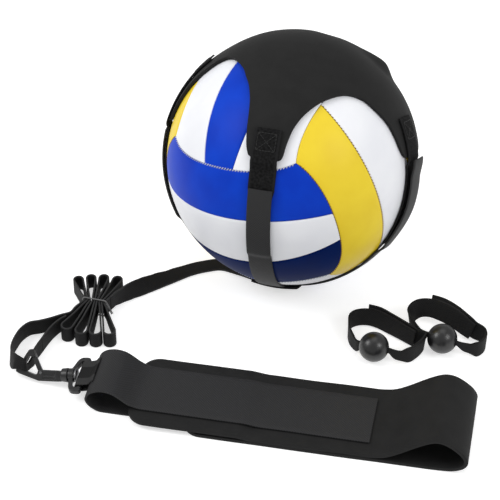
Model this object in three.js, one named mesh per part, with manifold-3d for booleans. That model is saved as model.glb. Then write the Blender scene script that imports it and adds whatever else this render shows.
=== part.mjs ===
// Volleyball rebounder: a volleyball in a strapped harness, a lead folded into a hank, a waist belt
// with a swivel snap hook, and two palm straps with rubber balls. Millimetres, +Z up.
import * as THREE from 'three';
import { mergeVertices } from 'three/addons/utils/BufferGeometryUtils.js';
import Module from 'manifold-3d';

const wasm = await Module();
wasm.setup();

// Clearances
const seatGap = 0.3;          // between two pieces that rest on each other
const overrun = 1;            // how far a cutting tool runs past a face
const facetSag = 0.35;        // allowance for flat facets on round faces
const weldReach = 0.0001;     // points nearer than this are one point

// Ball
const ballRadius = 105;
const panelThickness = 4.2;
const seamGap = 0.5;
const edgeRoll = 3;           // width of the rounded edge along each seam
const edgeDrop = 0.9;         // how far the panel sinks at a seam
const middleStripShare = 0.24;      // half width of the middle strip, in half cube edges
const sideSeamShare = 0.745;        // height of the long seam at its middle
const bladderWall = 1.2;
const bladderGap = 1.1;
const valveRadius = 4;
const valveLength = 9;
const valveSink = 0.6;        // valve face below the panel face
const needleRadius = 1;
const needleDepth = 6;
const ballTurn = [0.792, -14.008, -33.938];

// Harness
const capThickness = 2.5;
const capEndColat = 76.5;     // degrees from the pole to the end of each lobe
const lobeHalfWidth = 12;     // at the end of the lobe
const lobeCrown = 0.5;        // degrees that the lobe's end bows out
const archColats = [46, 46, 41, 36];        // top of each arch, right front, then round
const lobeAzimuths = [0, 80, 180, -83];     // front, right, back, left
const lobeNames = ['front', 'right', 'back', 'left'];
const harnessTurn = [-23.010, 5.225, -14.469];
const loopStrapThickness = 1.5;
const loopStrapWidth = 22;
const loopStrapColats = [64, 60, 60, 43];     // where each one starts
const loopStrapEnd = 120;
const hookStrapThickness = 1.6;
const hookStrapWidth = 20;
const hookStrapColats = [90, 81.5, 90, 81.5];
const strapRamp = 4;          // degrees in which a strap steps down
const strapStep = 5;          // degrees between a strap's stations
const rampLead = 1.6;         // degrees from a cover's end to the ramp
const strapEndGap = 15.5;     // from the bottom pole to each strap's end
const patchHalfSide = 20;
const patchThickness = 1.6;

// Lead
const leadWidth = 15;
const leadThickness = 1.5;
const leadFold = 2.1;         // pitch of the layers in the hank's waist
const hankBulbs = { lower: 4.3, upper: 3.8 };       // radius of the folded ends, at the middle of the webbing
const hankBend = 8;           // steps in each folded half turn
const hankLift = 1.6;         // how far the tie lifts the waist off the floor
const hankTieRadius = 0.6;
const tieCorner = 2.2;

// Waist belt
const beltTurn = -10.9;
const beltPlace = -235.3;
const bandWidth = 75;
const bandThickness = 3;
const bandCorner = 15;
const tapeWidth = 50;
const tapeThickness = 1.5;
const lowerBandEnd = 92;      // ends of the layers, left of the middle
const upperBandEnd = 137;
const tapeSewnEnd = 52;
const tapeFreeEnd = 57;       // right of the middle
const bulgeStart = 60;
const bulgeEnd = 135.5;
const bulgeHeight = 32.5;
const curlEnd = 173;
const curlHeight = 24;
const curlLength = 42;

// Swivel snap hook
const hookPlace = 181;        // ring bar, left of the belt's middle
const hookDepth = 40;         // behind the belt's front edge
const hookHeight = 11;
const hookDrop = 7;           // degrees that the hook hangs below level
const hookTilt = 130;
const ringWidth = 40;
const ringSlot = 31;
const ringBar = 4.8;
const ringThickness = 4.6;
const ringFace = 12;          // from the bar to the boss's outer face
const bossLength = 5;
const bossRadius = 5.75;
const swivelRadius = 2.4;
const swivelHead = 5.5;
const swivelHeadLength = 1.8;
const collarLength = 5.7;
const shankEnd = 34;
const shankHeight = 9;
const hookThickness = 6;
const eyeEnd = 57;            // from the bar to the tip of the hook
const noseHeight = 20;
const gateThickness = 3.6;
const gateWidth = 3;
const gatePivot = [35.6, 1.2];
const gateNose = [44, 18.2];
const gateTip = 14.4;         // from the pivot
const gatePinRadius = 1.1;
const lipReach = 1.3;         // the nose's lip over the gate's tip
const lipInner = 0.85;
const pinGrip = 1.4;          // from the swivel pin's end to the collar's
const shankLow = -5.6;
const hookChamfer = 1;
const leafThickness = 1;
const leafDepth = 2.6;        // of the slot that holds the leaf
const leafInset = 2.4;        // from the collar
const gateSlotBack = 3;       // from the pivot towards the collar
const gateSlotFront = 5.2;
const gateSlotDepth = 2.7;
const tabWidth = 28;
const tabThickness = 1.2;

// Palm straps
const palmBallRadius = 12.5;
const palmBoreRadius = 3.6;
const palmBandWidth = 16;
const palmBandThickness = 1.6;
const palmPatchThickness = 0.9;
const palmLoopLength = 60;    // of the left loop; the right one is drawn smaller
const palmFastenerMargin = 2;
const palmLeftPlace = [67, -129];           // the left ball's centre
const palmBetweenShares = [0.95, 1 / 6];   // from the left ball to the right one, in loop lengths
const palmBores = { left: -19.5, right: -25.5 };      // directions of the bores, in degrees

// Shares
const panelHalfShares = [0.14, 0.3, 0.46, 0.62, 0.76, 0.88, 0.965, 1];
const panelAlongShares = [...panelHalfShares.map((a) => -a).reverse(), 0, ...panelHalfShares];
const stripMarginShares = [0, 1 / 3, 2 / 3, 1];

const vec = (x, y, z) => new THREE.Vector3(x, y, z);
const rad = THREE.MathUtils.degToRad;
const lerp = THREE.MathUtils.lerp;
const smooth = (x, from, to) => THREE.MathUtils.smoothstep(x, from, to);

// A closed body from points and triangles: equal points are joined, collapsed triangles left out,
// and all faces turned outward.
function closedBody(points, faces) {
  const keys = new Map();
  const position = [];
  const merged = points.map((p) => {
    const key = p.toArray().map((c) => Math.round(c / weldReach)).join(' ');
    if (!keys.has(key)) {
      keys.set(key, position.length / 3);
      position.push(...p.toArray());
    }
    return keys.get(key);
  });
  let index = faces.map((face) => face.map((i) => merged[i]));
  index = index.filter(([a, b, c]) => a !== b && b !== c && c !== a);
  let volume = 0;
  const at = (i) => new THREE.Vector3().fromArray(position, i * 3);
  for (const [a, b, c] of index) volume += at(a).dot(at(b).cross(at(c)));
  if (volume < 0) index = index.map(([a, b, c]) => [a, c, b]);
  const geometry = new THREE.BufferGeometry();
  geometry.setAttribute('position', new THREE.Float32BufferAttribute(position, 3));
  geometry.setIndex(index.flat());
  return geometry;
}

// A closed body through a row of stations. Each station has an outer and an inner row of points.
function loft(stations, closed = false) {
  const loop = stations[0].outer.length * 2;
  const points = stations.flatMap(({ outer, inner }) => [...outer, ...[...inner].reverse()]);
  const faces = [];
  const quad = (a, b, c, d) => {
    const straight = points[a].distanceTo(points[c]) <= points[b].distanceTo(points[d]);
    faces.push(...(straight ? [[a, b, c], [a, c, d]] : [[a, b, d], [b, c, d]]));
  };
  const spans = closed ? stations.length : stations.length - 1;
  for (let i = 0; i < spans; i++) {
    const here = i * loop;
    const next = ((i + 1) % stations.length) * loop;
    for (let k = 0; k < loop; k++) {
      const m = (k + 1) % loop;
      quad(here + k, here + m, next + m, next + k);
    }
  }
  if (!closed) {
    const last = (stations.length - 1) * loop;
    for (let j = 0; j < loop / 2 - 1; j++) {
      const cap = [j, j + 1, loop - 2 - j, loop - 1 - j];
      quad(...[...cap].reverse());
      quad(...cap.map((k) => k + last));
    }
  }
  return closedBody(points, faces);
}

function toManifold(geometry) {
  const bare = geometry.clone();
  bare.deleteAttribute('normal');
  bare.deleteAttribute('uv');
  const merged = mergeVertices(bare, weldReach);
  return new wasm.Manifold(new wasm.Mesh({
    numProp: 3,
    vertProperties: new Float32Array(merged.attributes.position.array),
    triVerts: new Uint32Array(merged.index.array),
  }));
}

function toGeometry(manifold) {
  const mesh = manifold.getMesh();
  const geometry = new THREE.BufferGeometry();
  geometry.setAttribute('position', new THREE.BufferAttribute(mesh.vertProperties, 3));
  geometry.setIndex(new THREE.BufferAttribute(mesh.triVerts, 1));
  return geometry;
}

const cut = (body, ...tools) => toGeometry(tools.reduce(
  (rest, tool) => rest.subtract(toManifold(tool)), toManifold(body)));
const join = (body, ...others) => toGeometry(others.reduce(
  (rest, other) => rest.add(toManifold(other)), toManifold(body)));

// Materials
const paint = (color, roughness, metalness = 0) => new THREE.MeshStandardMaterial(
  { color, roughness, metalness });
const blue = paint(0x1546c8, 0.4);
const yellow = paint(0xe6c340, 0.4);
const white = paint(0xe9edf2, 0.4);
const neoprene = paint(0x16171a, 0.85);
const webbing = paint(0x1b1c1f, 0.9);
const hookTape = paint(0x3a3b3e, 0.75);
const plastic = paint(0x232427, 0.45);
const rubber = paint(0x1e1e20, 0.5);
const latex = paint(0x2b2b2d, 0.6);
const wire = paint(0x8a8b8d, 0.5, 0.4);
const steel = paint(0x9a9ca0, 0.35, 0.9);

const model = new THREE.Group();

function addPiece(parent, name, geometry, material) {
  const mesh = new THREE.Mesh(geometry, material);
  mesh.name = name;
  parent.add(mesh);
  return mesh;
}

// A strip along a route. The roll is the angle of its width from level; rolls and widths are lists
// that follow the route's points.
function shareMarks(route) {
  const sums = [0];
  for (let i = 1; i < route.length; i++) sums.push(sums[i - 1] + route[i].distanceTo(route[i - 1]));
  return sums.map((s) => s / sums.at(-1));
}

function alongList(list, marks, u) {
  if (typeof list === 'number') return list;
  let i = 1;
  while (i < marks.length - 1 && marks[i] < u) i++;
  return lerp(list[i - 1], list[i], smooth(u, marks[i - 1], marks[i]));
}

function stripFrame(curve, u, roll) {
  const tangent = curve.getTangentAt(u);
  const level = vec(tangent.y, -tangent.x, 0).normalize();
  const rise = level.clone().cross(tangent).normalize();
  const side = level.multiplyScalar(Math.cos(rad(roll))).addScaledVector(rise, Math.sin(rad(roll)));
  return { side, face: side.clone().cross(tangent).normalize() };
}

const stripEdgeShare = 0.9;
const stripOuterShares = [[-stripEdgeShare, 1], [stripEdgeShare, 1], [1, 0]];
const stripInnerShares = [[-1, 0], [-stripEdgeShare, -1], [stripEdgeShare, -1]];

function strip({ route, rolls, width, thickness, steps, stops, widthShares = 1, thickShares = 1 }) {
  const curve = new THREE.CatmullRomCurve3(route, false, 'centripetal');
  curve.arcLengthDivisions = 1200;
  const marks = shareMarks(route);
  const places = stops ?? Array.from({ length: steps + 1 }, (_, i) => i / steps);
  return loft(places.map((u) => {
    const middle = curve.getPointAt(u);
    const { side, face } = stripFrame(curve, u, alongList(rolls, marks, u));
    const halfWidth = width / 2 * alongList(widthShares, marks, u);
    const halfThick = thickness / 2 * alongList(thickShares, marks, u);
    // A place that would dip below the surface is lifted onto it.
    middle.z = Math.max(middle.z, halfWidth * Math.abs(side.z) + halfThick * Math.abs(face.z));
    const place = ([w, t]) => middle.clone()
      .addScaledVector(side, w * halfWidth).addScaledVector(face, t * halfThick);
    return { outer: stripOuterShares.map(place), inner: stripInnerShares.map(place) };
  }));
}

const ballGroup = new THREE.Group();
model.add(ballGroup);
const ball = new THREE.Group();
ball.rotation.set(...ballTurn.map(rad));
ballGroup.add(ball);

// Each cube face holds three strips, drawn in flat shares of the half cube edge and then projected
// onto the sphere. The long side seam rises towards the cube's corners.
const seamHeight = (s) => lerp(sideSeamShare, 1, s ** 4);

function stripEnd(t) {
  let s = 1;
  for (let i = 0; i < 40; i++) s = 1 / seamHeight(Math.min(t / s, 1));
  return s;
}

const spread = (s, t, mm) => mm / ballRadius * (1 + s * s + t * t) / Math.sqrt(1 + s * s);

function panelPoint(a, b, stripIndex) {
  const middle = stripIndex === 1;
  const low = middle ? -middleStripShare : middleStripShare;
  const top = (s) => (middle ? middleStripShare : seamHeight(s));
  const tEnd = lerp(low, middle ? middleStripShare : 1, b);
  const sEnd = stripEnd(Math.abs(tEnd));
  const inset = seamGap / 2;
  const s = a * (sEnd - spread(tEnd, sEnd, inset));
  const lowEdge = low + spread(s, low, inset);
  const topEdge = top(middle ? s : a) - spread(s, top(a), inset);
  const t = lerp(lowEdge, topEdge, b);
  return [s, stripIndex === 0 ? -t : t];
}

function ballPanel(normal, along, across, stripIndex) {
  const stripWide = ballRadius * middleStripShare * 2;
  const rollShare = edgeRoll / stripWide;
  const acrossShares = [0, rollShare, ...stripMarginShares.slice(1, -1), 1 - rollShare, 1];
  const row = (a, onEnd, shares, radiusAt) => shares.map((b, j) => {
    const [s, t] = panelPoint(a, b, stripIndex);
    const radius = radiusAt(onEnd || j === 0 || j === shares.length - 1);
    return normal.clone().addScaledVector(along, s).addScaledVector(across, t).setLength(radius);
  });
  // The rounded edge is on the outer face only, so the inner face has no row of its own there.
  const innerShares = [0, 0, ...stripMarginShares.slice(1, -1), 1, 1];
  return loft(panelAlongShares.map((a, i) => {
    const onEnd = i === 0 || i === panelAlongShares.length - 1;
    const nearEnd = i === 1 || i === panelAlongShares.length - 2;
    return {
      outer: row(a, onEnd, acrossShares, (onEdge) => ballRadius - (onEdge ? edgeDrop : 0)),
      inner: row(nearEnd ? Math.sign(a) : a, onEnd, innerShares, () => ballRadius - panelThickness),
    };
  }));
}

const xAxis = vec(1, 0, 0);
const yAxis = vec(0, 1, 0);
const zAxis = vec(0, 0, 1);
const down = vec(0, 0, -1);
const left = vec(-1, 0, 0);
const front = vec(0, -1, 0);
const faces = [
  { name: 'front', normal: front, along: xAxis, across: zAxis, colours: [blue, white, blue] },
  { name: 'back', normal: yAxis, along: xAxis, across: zAxis, colours: [blue, white, blue] },
  { name: 'right', normal: xAxis, along: zAxis, across: yAxis, colours: [yellow, white, yellow] },
  { name: 'left', normal: left, along: zAxis, across: yAxis, colours: [yellow, white, yellow] },
  { name: 'top', normal: zAxis, along: yAxis, across: xAxis, colours: [white, blue, white] },
  { name: 'bottom', normal: down, along: yAxis, across: xAxis, colours: [white, blue, white] },
];
const bladderRadius = ballRadius - panelThickness - bladderGap;
const valveBore = new THREE.CylinderGeometry(
  valveRadius + seatGap, valveRadius + seatGap, panelThickness + bladderGap + overrun, 20);
valveBore.translate(0, ballRadius - panelThickness / 2, 0);
for (const { name, normal, along, across, colours } of faces) {
  colours.forEach((colour, i) => {
    const panel = ballPanel(normal, along, across, i);
    const holdsValve = name === 'back' && i === 1;
    addPiece(ball, `panel_${name}_${i + 1}`, holdsValve ? cut(panel, valveBore) : panel, colour);
  });
}

function arcPoints(radius, from, to, count) {
  return Array.from({ length: count + 1 }, (_, i) => {
    const angle = lerp(from, to, i / count);
    return new THREE.Vector2(radius * Math.sin(angle), radius * Math.cos(angle));
  });
}

// The bladder is a hollow ball with a mouth at the valve.
const mouth = Math.asin((valveRadius + seatGap) / bladderRadius);
const bladderProfile = [
  ...arcPoints(bladderRadius, mouth, Math.PI, 9).slice(0, -1),
  new THREE.Vector2(0, -bladderRadius),
  new THREE.Vector2(0, bladderWall - bladderRadius),
  ...arcPoints(bladderRadius - bladderWall, Math.PI, mouth, 9).slice(1),
];
bladderProfile.push(bladderProfile[0].clone());
addPiece(ball, 'ball_bladder', closedLathe(bladderProfile, 18), latex);

function closedLathe(profile, segments) {
  const lathe = new THREE.LatheGeometry(profile, segments);
  const position = lathe.attributes.position;
  const points = Array.from({ length: position.count },
    (_, i) => new THREE.Vector3().fromBufferAttribute(position, i));
  const faces = [];
  for (let i = 0; i < lathe.index.count; i += 3) {
    faces.push([lathe.index.getX(i), lathe.index.getX(i + 1), lathe.index.getX(i + 2)]);
  }
  return closedBody(points, faces);
}

const valveTop = ballRadius - valveSink;
addPiece(ball, 'ball_valve', closedLathe([
  new THREE.Vector2(0, valveTop - valveLength),
  new THREE.Vector2(valveRadius, valveTop - valveLength),
  new THREE.Vector2(valveRadius, valveTop),
  new THREE.Vector2(needleRadius, valveTop),
  new THREE.Vector2(needleRadius, valveTop - needleDepth),
  new THREE.Vector2(0, valveTop - needleDepth),
], 20), latex);

const harness = new THREE.Group();
harness.rotation.set(...harnessTurn.map(rad));
ballGroup.add(harness);

const onSphere = (colat, azimuth, radius) => vec(
  Math.sin(rad(colat)) * Math.sin(rad(azimuth)),
  -Math.sin(rad(colat)) * Math.cos(rad(azimuth)),
  Math.cos(rad(colat))).multiplyScalar(radius);

const coverRadius = ballRadius + seatGap + facetSag;
const capOuter = coverRadius + capThickness;
const degreesWide = (mm, colat) => mm / (ballRadius * Math.sin(rad(colat))) * 180 / Math.PI;

// The cap's edge: four lobes with an arch between each two. The arch is flat at its top and steep
// beside the lobes.
const archShare = (x) => 0.5 * x ** 2 + 0.5 * x ** 6;
const archSteps = [-1, -0.93, -0.83, -0.68, -0.5, -0.3, -0.1, 0.1, 0.3, 0.5, 0.68, 0.83, 0.93, 1];
const lobeSide = degreesWide(lobeHalfWidth, capEndColat);
const capEdge = [];
lobeAzimuths.forEach((azimuth, i) => {
  const next = lobeAzimuths[(i + 1) % lobeAzimuths.length];
  const turn = (next - azimuth + 360) % 360;
  const middle = azimuth + turn / 2;
  const halfSpan = turn / 2 - lobeSide;
  capEdge.push({ azimuth, colat: capEndColat + lobeCrown });
  for (const x of archSteps) {
    capEdge.push({
      azimuth: middle + x * halfSpan,
      colat: lerp(archColats[i], capEndColat, archShare(x)),
    });
  }
});
const capRowShares = Array.from({ length: 11 }, (_, i) => i / 10);

function capStation({ azimuth, colat }) {
  const row = (radius) => capRowShares.map((share) => onSphere(colat * share, azimuth, radius));
  return { outer: row(capOuter), inner: row(coverRadius) };
}
addPiece(harness, 'harness_cap', loft(capEdge.map(capStation), true), neoprene);

// Straps run down the ball along great circles through the pole.
// Each strap has a ramp where it steps down from one cover to the next.
function ballStrap({ azimuth, from, to, width, thickness, high, low, rampFrom }) {
  const sideAngle = width / 2 / ballRadius;
  const rampTo = rampFrom + strapRamp;
  const rampStops = [0, 0.25, 0.5, 0.75, 1].map((share) => lerp(rampFrom, rampTo, share));
  const between = (start, end) => {
    const count = Math.ceil((end - start) / strapStep);
    return Array.from({ length: count }, (_, i) => lerp(start, end, i / count));
  };
  const stops = [...between(from, rampFrom), ...rampStops, ...between(rampTo, to).slice(1), to];
  return loft(stops.map((colat) => {
    const ray = onSphere(colat, azimuth, 1);
    const sideways = onSphere(90, azimuth + 90, 1);
    const row = (radius) => [-1, 0, 1].map((w) => ray.clone().multiplyScalar(Math.cos(w * sideAngle))
      .addScaledVector(sideways, Math.sin(w * sideAngle)).multiplyScalar(radius));
    const inner = lerp(high, low, smooth(colat, rampFrom, rampTo));
    return { outer: row(inner + thickness), inner: row(inner) };
  }));
}

const strapEndColat = 180 - strapEndGap / ballRadius * 180 / Math.PI;
const loopStrapInner = capOuter + seatGap + facetSag;
const hookStrapInner = coverRadius + loopStrapThickness + seatGap + facetSag;
lobeNames.forEach((name, i) => {
  const azimuth = lobeAzimuths[i];
  addPiece(harness, `loop_strap_${name}`, ballStrap({
    azimuth,
    from: loopStrapColats[i],
    to: loopStrapEnd,
    width: loopStrapWidth,
    thickness: loopStrapThickness,
    high: loopStrapInner,
    low: coverRadius,
    rampFrom: capEndColat + rampLead,
  }), webbing);
  addPiece(harness, `hook_strap_${name}`, ballStrap({
    azimuth,
    from: hookStrapColats[i],
    to: strapEndColat,
    width: hookStrapWidth,
    thickness: hookStrapThickness,
    high: hookStrapInner,
    low: coverRadius,
    rampFrom: loopStrapEnd + rampLead,
  }), hookTape);
});

// The square patch at the bottom pole ties the four straps together.
const patchInner = coverRadius + hookStrapThickness + seatGap + facetSag;
const patchSteps = [-1, -0.5, 0, 0.5, 1];
addPiece(harness, 'junction_patch', loft(patchSteps.map((a) => {
  const reach = patchHalfSide / ballRadius;
  const row = (radius) => patchSteps.map(
    (b) => vec(Math.tan(a * reach), Math.tan(b * reach), -1).setLength(radius));
  return { outer: row(patchInner + patchThickness), inner: row(patchInner) };
})), webbing);

model.updateMatrixWorld(true);
const ballLow = new THREE.Box3().setFromObject(ballGroup, true).min.z;
ballGroup.position.z = -ballLow;

const onEdge = leadWidth / 2;
const lying = leadThickness / 2;
model.updateMatrixWorld(true);
const leadStart = harness.localToWorld(vec(0, 0, -(patchInner + patchThickness + seatGap + lying)));

const waist = vec(-166, -75.7, onEdge + hankLift);
const waistAcross = vec(0.966, -0.257, 0);
const hankLayers = 9;
const lowerFolds = [[-189.5, -108.5], [-176.3, -114.8], [-163.4, -115.9], [-150.8, -115.7]];
const upperFolds = [[-182.9, -42.7], [-171.3, -40.4], [-159.6, -40.4], [-147, -42.8]];
const layerPlace = (k) => waist.clone().addScaledVector(waistAcross, (k - (hankLayers - 1) / 2) * leadFold);

const foldSideShares = [0.18, 0.42, 0.65, 0.85];

// One folded end: out from the waist, round the bulb, and back to the next layer.
function foldPoints(from, to, [x, y], bulb) {
  const tip = vec(x, y, onEdge);
  const start = from.clone().add(to).multiplyScalar(0.5);
  const axis = tip.clone().sub(start).setZ(0);
  const length = axis.length();
  axis.normalize();
  const across = vec(axis.y, -axis.x, 0);
  if (across.dot(from.clone().sub(to)) < 0) across.negate();
  const neck = length - bulb;
  const points = [];
  const place = (out, offset) => {
    const point = start.clone().addScaledVector(axis, out).addScaledVector(across, offset);
    point.z = lerp(waist.z, onEdge, smooth(out, 0, length * 0.6));
    return point;
  };
  const sideAt = (share) => lerp(leadFold / 2, bulb, share ** 1.4);
  for (const share of foldSideShares) points.push(place(neck * share, sideAt(share)));
  for (let i = 0; i <= hankBend; i++) {
    const angle = Math.PI * i / hankBend;
    points.push(place(neck + bulb * Math.sin(angle), bulb * Math.cos(angle)));
  }
  for (const share of [...foldSideShares].reverse()) points.push(place(neck * share, -sideAt(share)));
  return points;
}

const hankRoute = [];
const runIn = vec(0.56, 0.828, 0);
const straightEnd = leadWidth / 2;
for (const share of [1, 0.5, 0]) {
  hankRoute.push(layerPlace(hankLayers - 1).addScaledVector(runIn, straightEnd * share));
}
for (let k = hankLayers - 1, fold = lowerFolds.length - 1; k > 0; k -= 2, fold--) {
  hankRoute.push(...foldPoints(layerPlace(k), layerPlace(k - 1), lowerFolds[fold], hankBulbs.lower));
  hankRoute.push(layerPlace(k - 1));
  hankRoute.push(...foldPoints(layerPlace(k - 1), layerPlace(k - 2), upperFolds[fold], hankBulbs.upper));
  hankRoute.push(layerPlace(k - 2));
}
const runOut = vec(-0.62, -0.785, 0);
for (const share of [0.5, 1]) hankRoute.push(layerPlace(0).addScaledVector(runOut, straightEnd * share));

function leastGap(route, thickness, skip) {
  const curve = new THREE.CatmullRomCurve3(route, false, 'centripetal');
  curve.arcLengthDivisions = 2000;
  const points = curve.getSpacedPoints(1600);
  const spacing = curve.getLength() / 1600;
  let least = Infinity;
  for (let i = 0; i < points.length; i++) {
    for (let j = i + Math.ceil(skip / spacing); j < points.length; j++) {
      least = Math.min(least, Math.hypot(points[i].x - points[j].x, points[i].y - points[j].y));
    }
  }
  return least - thickness;
}
const hankGap = leastGap(hankRoute, leadThickness, hankBulbs.lower * Math.PI);
console.log('least gap of the hank to itself, mm:', hankGap.toFixed(2));

const hankCurveShares = shareMarks(hankRoute);
addPiece(model, 'lead_hank', strip({
  route: hankRoute,
  rolls: 90,
  width: leadWidth,
  thickness: leadThickness,
  stops: hankCurveShares,
}), webbing);

const hankEntry = hankRoute[0].clone().addScaledVector(runIn, seatGap);
addPiece(model, 'lead_to_hank', strip({
  route: [
    leadStart, vec(-20, -36.3, 4.5), vec(-32, -27.5, 2.9), vec(-46, -17.5, 1.5),
    vec(-60, -11, lying), vec(-74, -13.2, lying), vec(-88, -18.3, lying), vec(-102, -27, lying),
    vec(-116, -36.8, 3.7), vec(-127.5, -45.6, 5.7), vec(-137.5, -53.4, 7.1), vec(-144.4, -59.6, 7.6),
    ...[1, 0.5, 0].map((share) => hankEntry.clone().addScaledVector(runIn, straightEnd * share)),
  ],
  rolls: [-22, -20, -12, -4, 0, 0, 0, 8, 24, 44, 66, 84, 90, 90, 90],
  width: leadWidth,
  thickness: leadThickness,
  steps: 32,
}), webbing);

// A thin wire holds the hank at its waist and ends in a short twist.
const tieHalfLong = hankLayers * leadFold / 2 + seatGap + hankTieRadius;
const tieTop = hankLift + leadWidth + seatGap * 2 + hankTieRadius;
const tieRing = [];
const tieCorners = [
  [tieHalfLong, hankTieRadius, -90], [tieHalfLong, tieTop, 0], [-tieHalfLong, tieTop, 90],
  [-tieHalfLong, hankTieRadius, 180],
];
for (const [along, high, start] of tieCorners) {
  for (let i = 0; i <= 3; i++) {
    const angle = rad(start + 30 * i);
    const inAlong = along - Math.sign(along) * tieCorner;
    const inHigh = high + (high > onEdge ? -tieCorner : tieCorner);
    tieRing.push([inAlong + tieCorner * Math.cos(angle), inHigh + tieCorner * Math.sin(angle)]);
  }
}
const tieFlat = vec(waist.x, waist.y, 0);
const tiePoint = ([along, high]) => tieFlat.clone().addScaledVector(waistAcross, along).setZ(high);
const tieNormal = waistAcross.clone().cross(zAxis).normalize();
const tieStations = tieRing.map((place, i) => {
  const before = tiePoint(tieRing[(i + tieRing.length - 1) % tieRing.length]);
  const after = tiePoint(tieRing[(i + 1) % tieRing.length]);
  const outward = after.sub(before).normalize().cross(tieNormal).normalize();
  const around = (angle) => tiePoint(place)
    .addScaledVector(outward, hankTieRadius * Math.cos(rad(angle)))
    .addScaledVector(tieNormal, hankTieRadius * Math.sin(rad(angle)));
  return { outer: [0, 60, 120].map(around), inner: [-60, -120, -180].map(around) };
});
addPiece(model, 'hank_tie', loft(tieStations, true), wire);

const belt = new THREE.Group();
belt.position.set(0, beltPlace, 0);
belt.rotation.z = rad(beltTurn);
model.add(belt);

const tapeFront = (bandWidth - tapeWidth) / 2;
const bandLow = bandThickness / 2;
const bandHigh = bandThickness + seatGap + bandThickness / 2;
const bandRaised = bandHigh + tapeThickness + seatGap;
const tapeLow = tapeThickness / 2;
const tapeOnLower = bandThickness + seatGap + tapeThickness / 2;
const tapeOnUpper = bandHigh + bandThickness / 2 + seatGap + tapeThickness / 2;
const tapeOnRaised = bandRaised + bandThickness / 2 + seatGap + tapeThickness / 2;

// A band swept along a profile in the plane of length and height, with round corners at its ends.
function band({ profile, front, width, thickness, steps, startCorner, endCorner }) {
  const route = profile.map(([a, z]) => vec(a, front + width / 2, z));
  const curve = new THREE.CatmullRomCurve3(route, false, 'centripetal');
  curve.arcLengthDivisions = 1200;
  const length = curve.getLength();
  const cornerShares = [0, 0.04, 0.16, 0.38, 0.68, 1];
  const places = new Set();
  const inFrom = startCorner / length;
  const inTo = 1 - endCorner / length;
  if (startCorner > 0) for (const share of cornerShares) places.add(share * inFrom);
  for (let i = 0; i <= steps; i++) places.add(lerp(inFrom, inTo, i / steps));
  if (endCorner > 0) for (const share of cornerShares) places.add(1 - share * endCorner / length);
  const halfAt = (gap, corner) => (gap >= corner ? width / 2
    : width / 2 - corner + Math.sqrt(corner ** 2 - (corner - gap) ** 2));
  return loft([...places].sort((p, q) => p - q).map((u) => {
    const middle = curve.getPointAt(Math.min(u, 1));
    middle.z = Math.max(middle.z, thickness / 2);
    const tangent = curve.getTangentAt(Math.min(u, 1));
    const face = vec(-tangent.z, 0, tangent.x).normalize();
    const half = Math.min(halfAt(u * length, startCorner), halfAt((1 - u) * length, endCorner));
    const row = (t) => [-half, half].map((w) => middle.clone()
      .addScaledVector(yAxis, w).addScaledVector(face, t * thickness / 2));
    return { outer: row(1), inner: row(-1) };
  }));
}

const bulgeReach = bulgeEnd - bulgeStart - bandThickness / 2;
const bulgeRise = bulgeHeight - bandThickness;
const bulgeShares = [
  [0.6, 0], [0.72, 0.01], [0.86, 0.05], [0.96, 0.174], [1, 0.36], [0.965, 0.582], [0.87, 0.813],
  [0.755, 0.973], [0.66, 0.987], [0.56, 0.876], [0.43, 0.662], [0.28, 0.396], [0.13, 0.187],
];
const rampLength = bandThickness * 3;
const rampRight = rampLength * 1.4 - tapeSewnEnd;      // where the upper layers step up over the tape's end
const bandProfile = [
  [-lowerBandEnd, bandLow], [-lowerBandEnd / 2, bandLow], [0, bandLow], [bulgeStart, bandLow],
  [bulgeStart + bulgeReach / 2, bandLow],
  ...bulgeShares.map(([a, z]) => [bulgeStart + a * bulgeReach, bandLow + z * bulgeRise]),
  [bulgeStart - bandThickness, bandHigh], [bulgeStart - bandThickness * 2, bandHigh], [0, bandHigh],
  [rampRight + rampLength, bandHigh], [rampRight + rampLength / 2, bandHigh],
  [rampRight - rampLength, bandRaised], [rampRight - rampLength * 1.5, bandRaised],
  [-(tapeSewnEnd + upperBandEnd) / 2, bandRaised], [-upperBandEnd, bandRaised],
];
addPiece(belt, 'belt_band', band({
  profile: bandProfile,
  front: 0,
  width: bandWidth,
  thickness: bandThickness,
  steps: 54,
  startCorner: bandCorner,
  endCorner: bandCorner,
}), neoprene);

const curlShares = [
  [0.24, 0.02], [0.06, 0.24], [0, 0.53], [0.09, 0.83], [0.29, 1], [0.51, 0.96], [0.65, 0.8], [0.82, 0.55],
];
const curlLeft = -curlEnd + tapeThickness / 2;
const curlRise = curlHeight - tapeThickness;
const tapeProfile = [
  [-tapeSewnEnd, tapeOnLower], [-(tapeSewnEnd + lowerBandEnd) / 2, tapeOnLower],
  [-lowerBandEnd + bandThickness, tapeOnLower], [-lowerBandEnd - bandThickness / 2, tapeOnLower],
  [-lowerBandEnd - rampLength * 1.4, tapeLow],
  [-lowerBandEnd - rampLength * 2, tapeLow],
  [-(lowerBandEnd + curlEnd) / 2, tapeLow], [-curlEnd + curlLength / 2, tapeLow],
  ...curlShares.map(([a, z]) => [curlLeft + a * curlLength, tapeLow + z * curlRise]),
  [-upperBandEnd + bandThickness * 2, tapeOnRaised + tapeThickness / 2],
  [-upperBandEnd + bandThickness * 4, tapeOnRaised], [-upperBandEnd + bandThickness * 5, tapeOnRaised],
  [rampRight - rampLength, tapeOnRaised], [rampRight - rampLength / 2, tapeOnRaised],
  [rampRight + rampLength, tapeOnUpper], [rampRight + rampLength * 1.5, tapeOnUpper],
  [0, tapeOnUpper], [tapeFreeEnd / 2, tapeOnUpper], [tapeFreeEnd, tapeOnUpper],
];
addPiece(belt, 'belt_tape', band({
  profile: tapeProfile,
  front: tapeFront,
  width: tapeWidth,
  thickness: tapeThickness,
  steps: 56,
  startCorner: 0,
  endCorner: 0,
}), hookTape);

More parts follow.
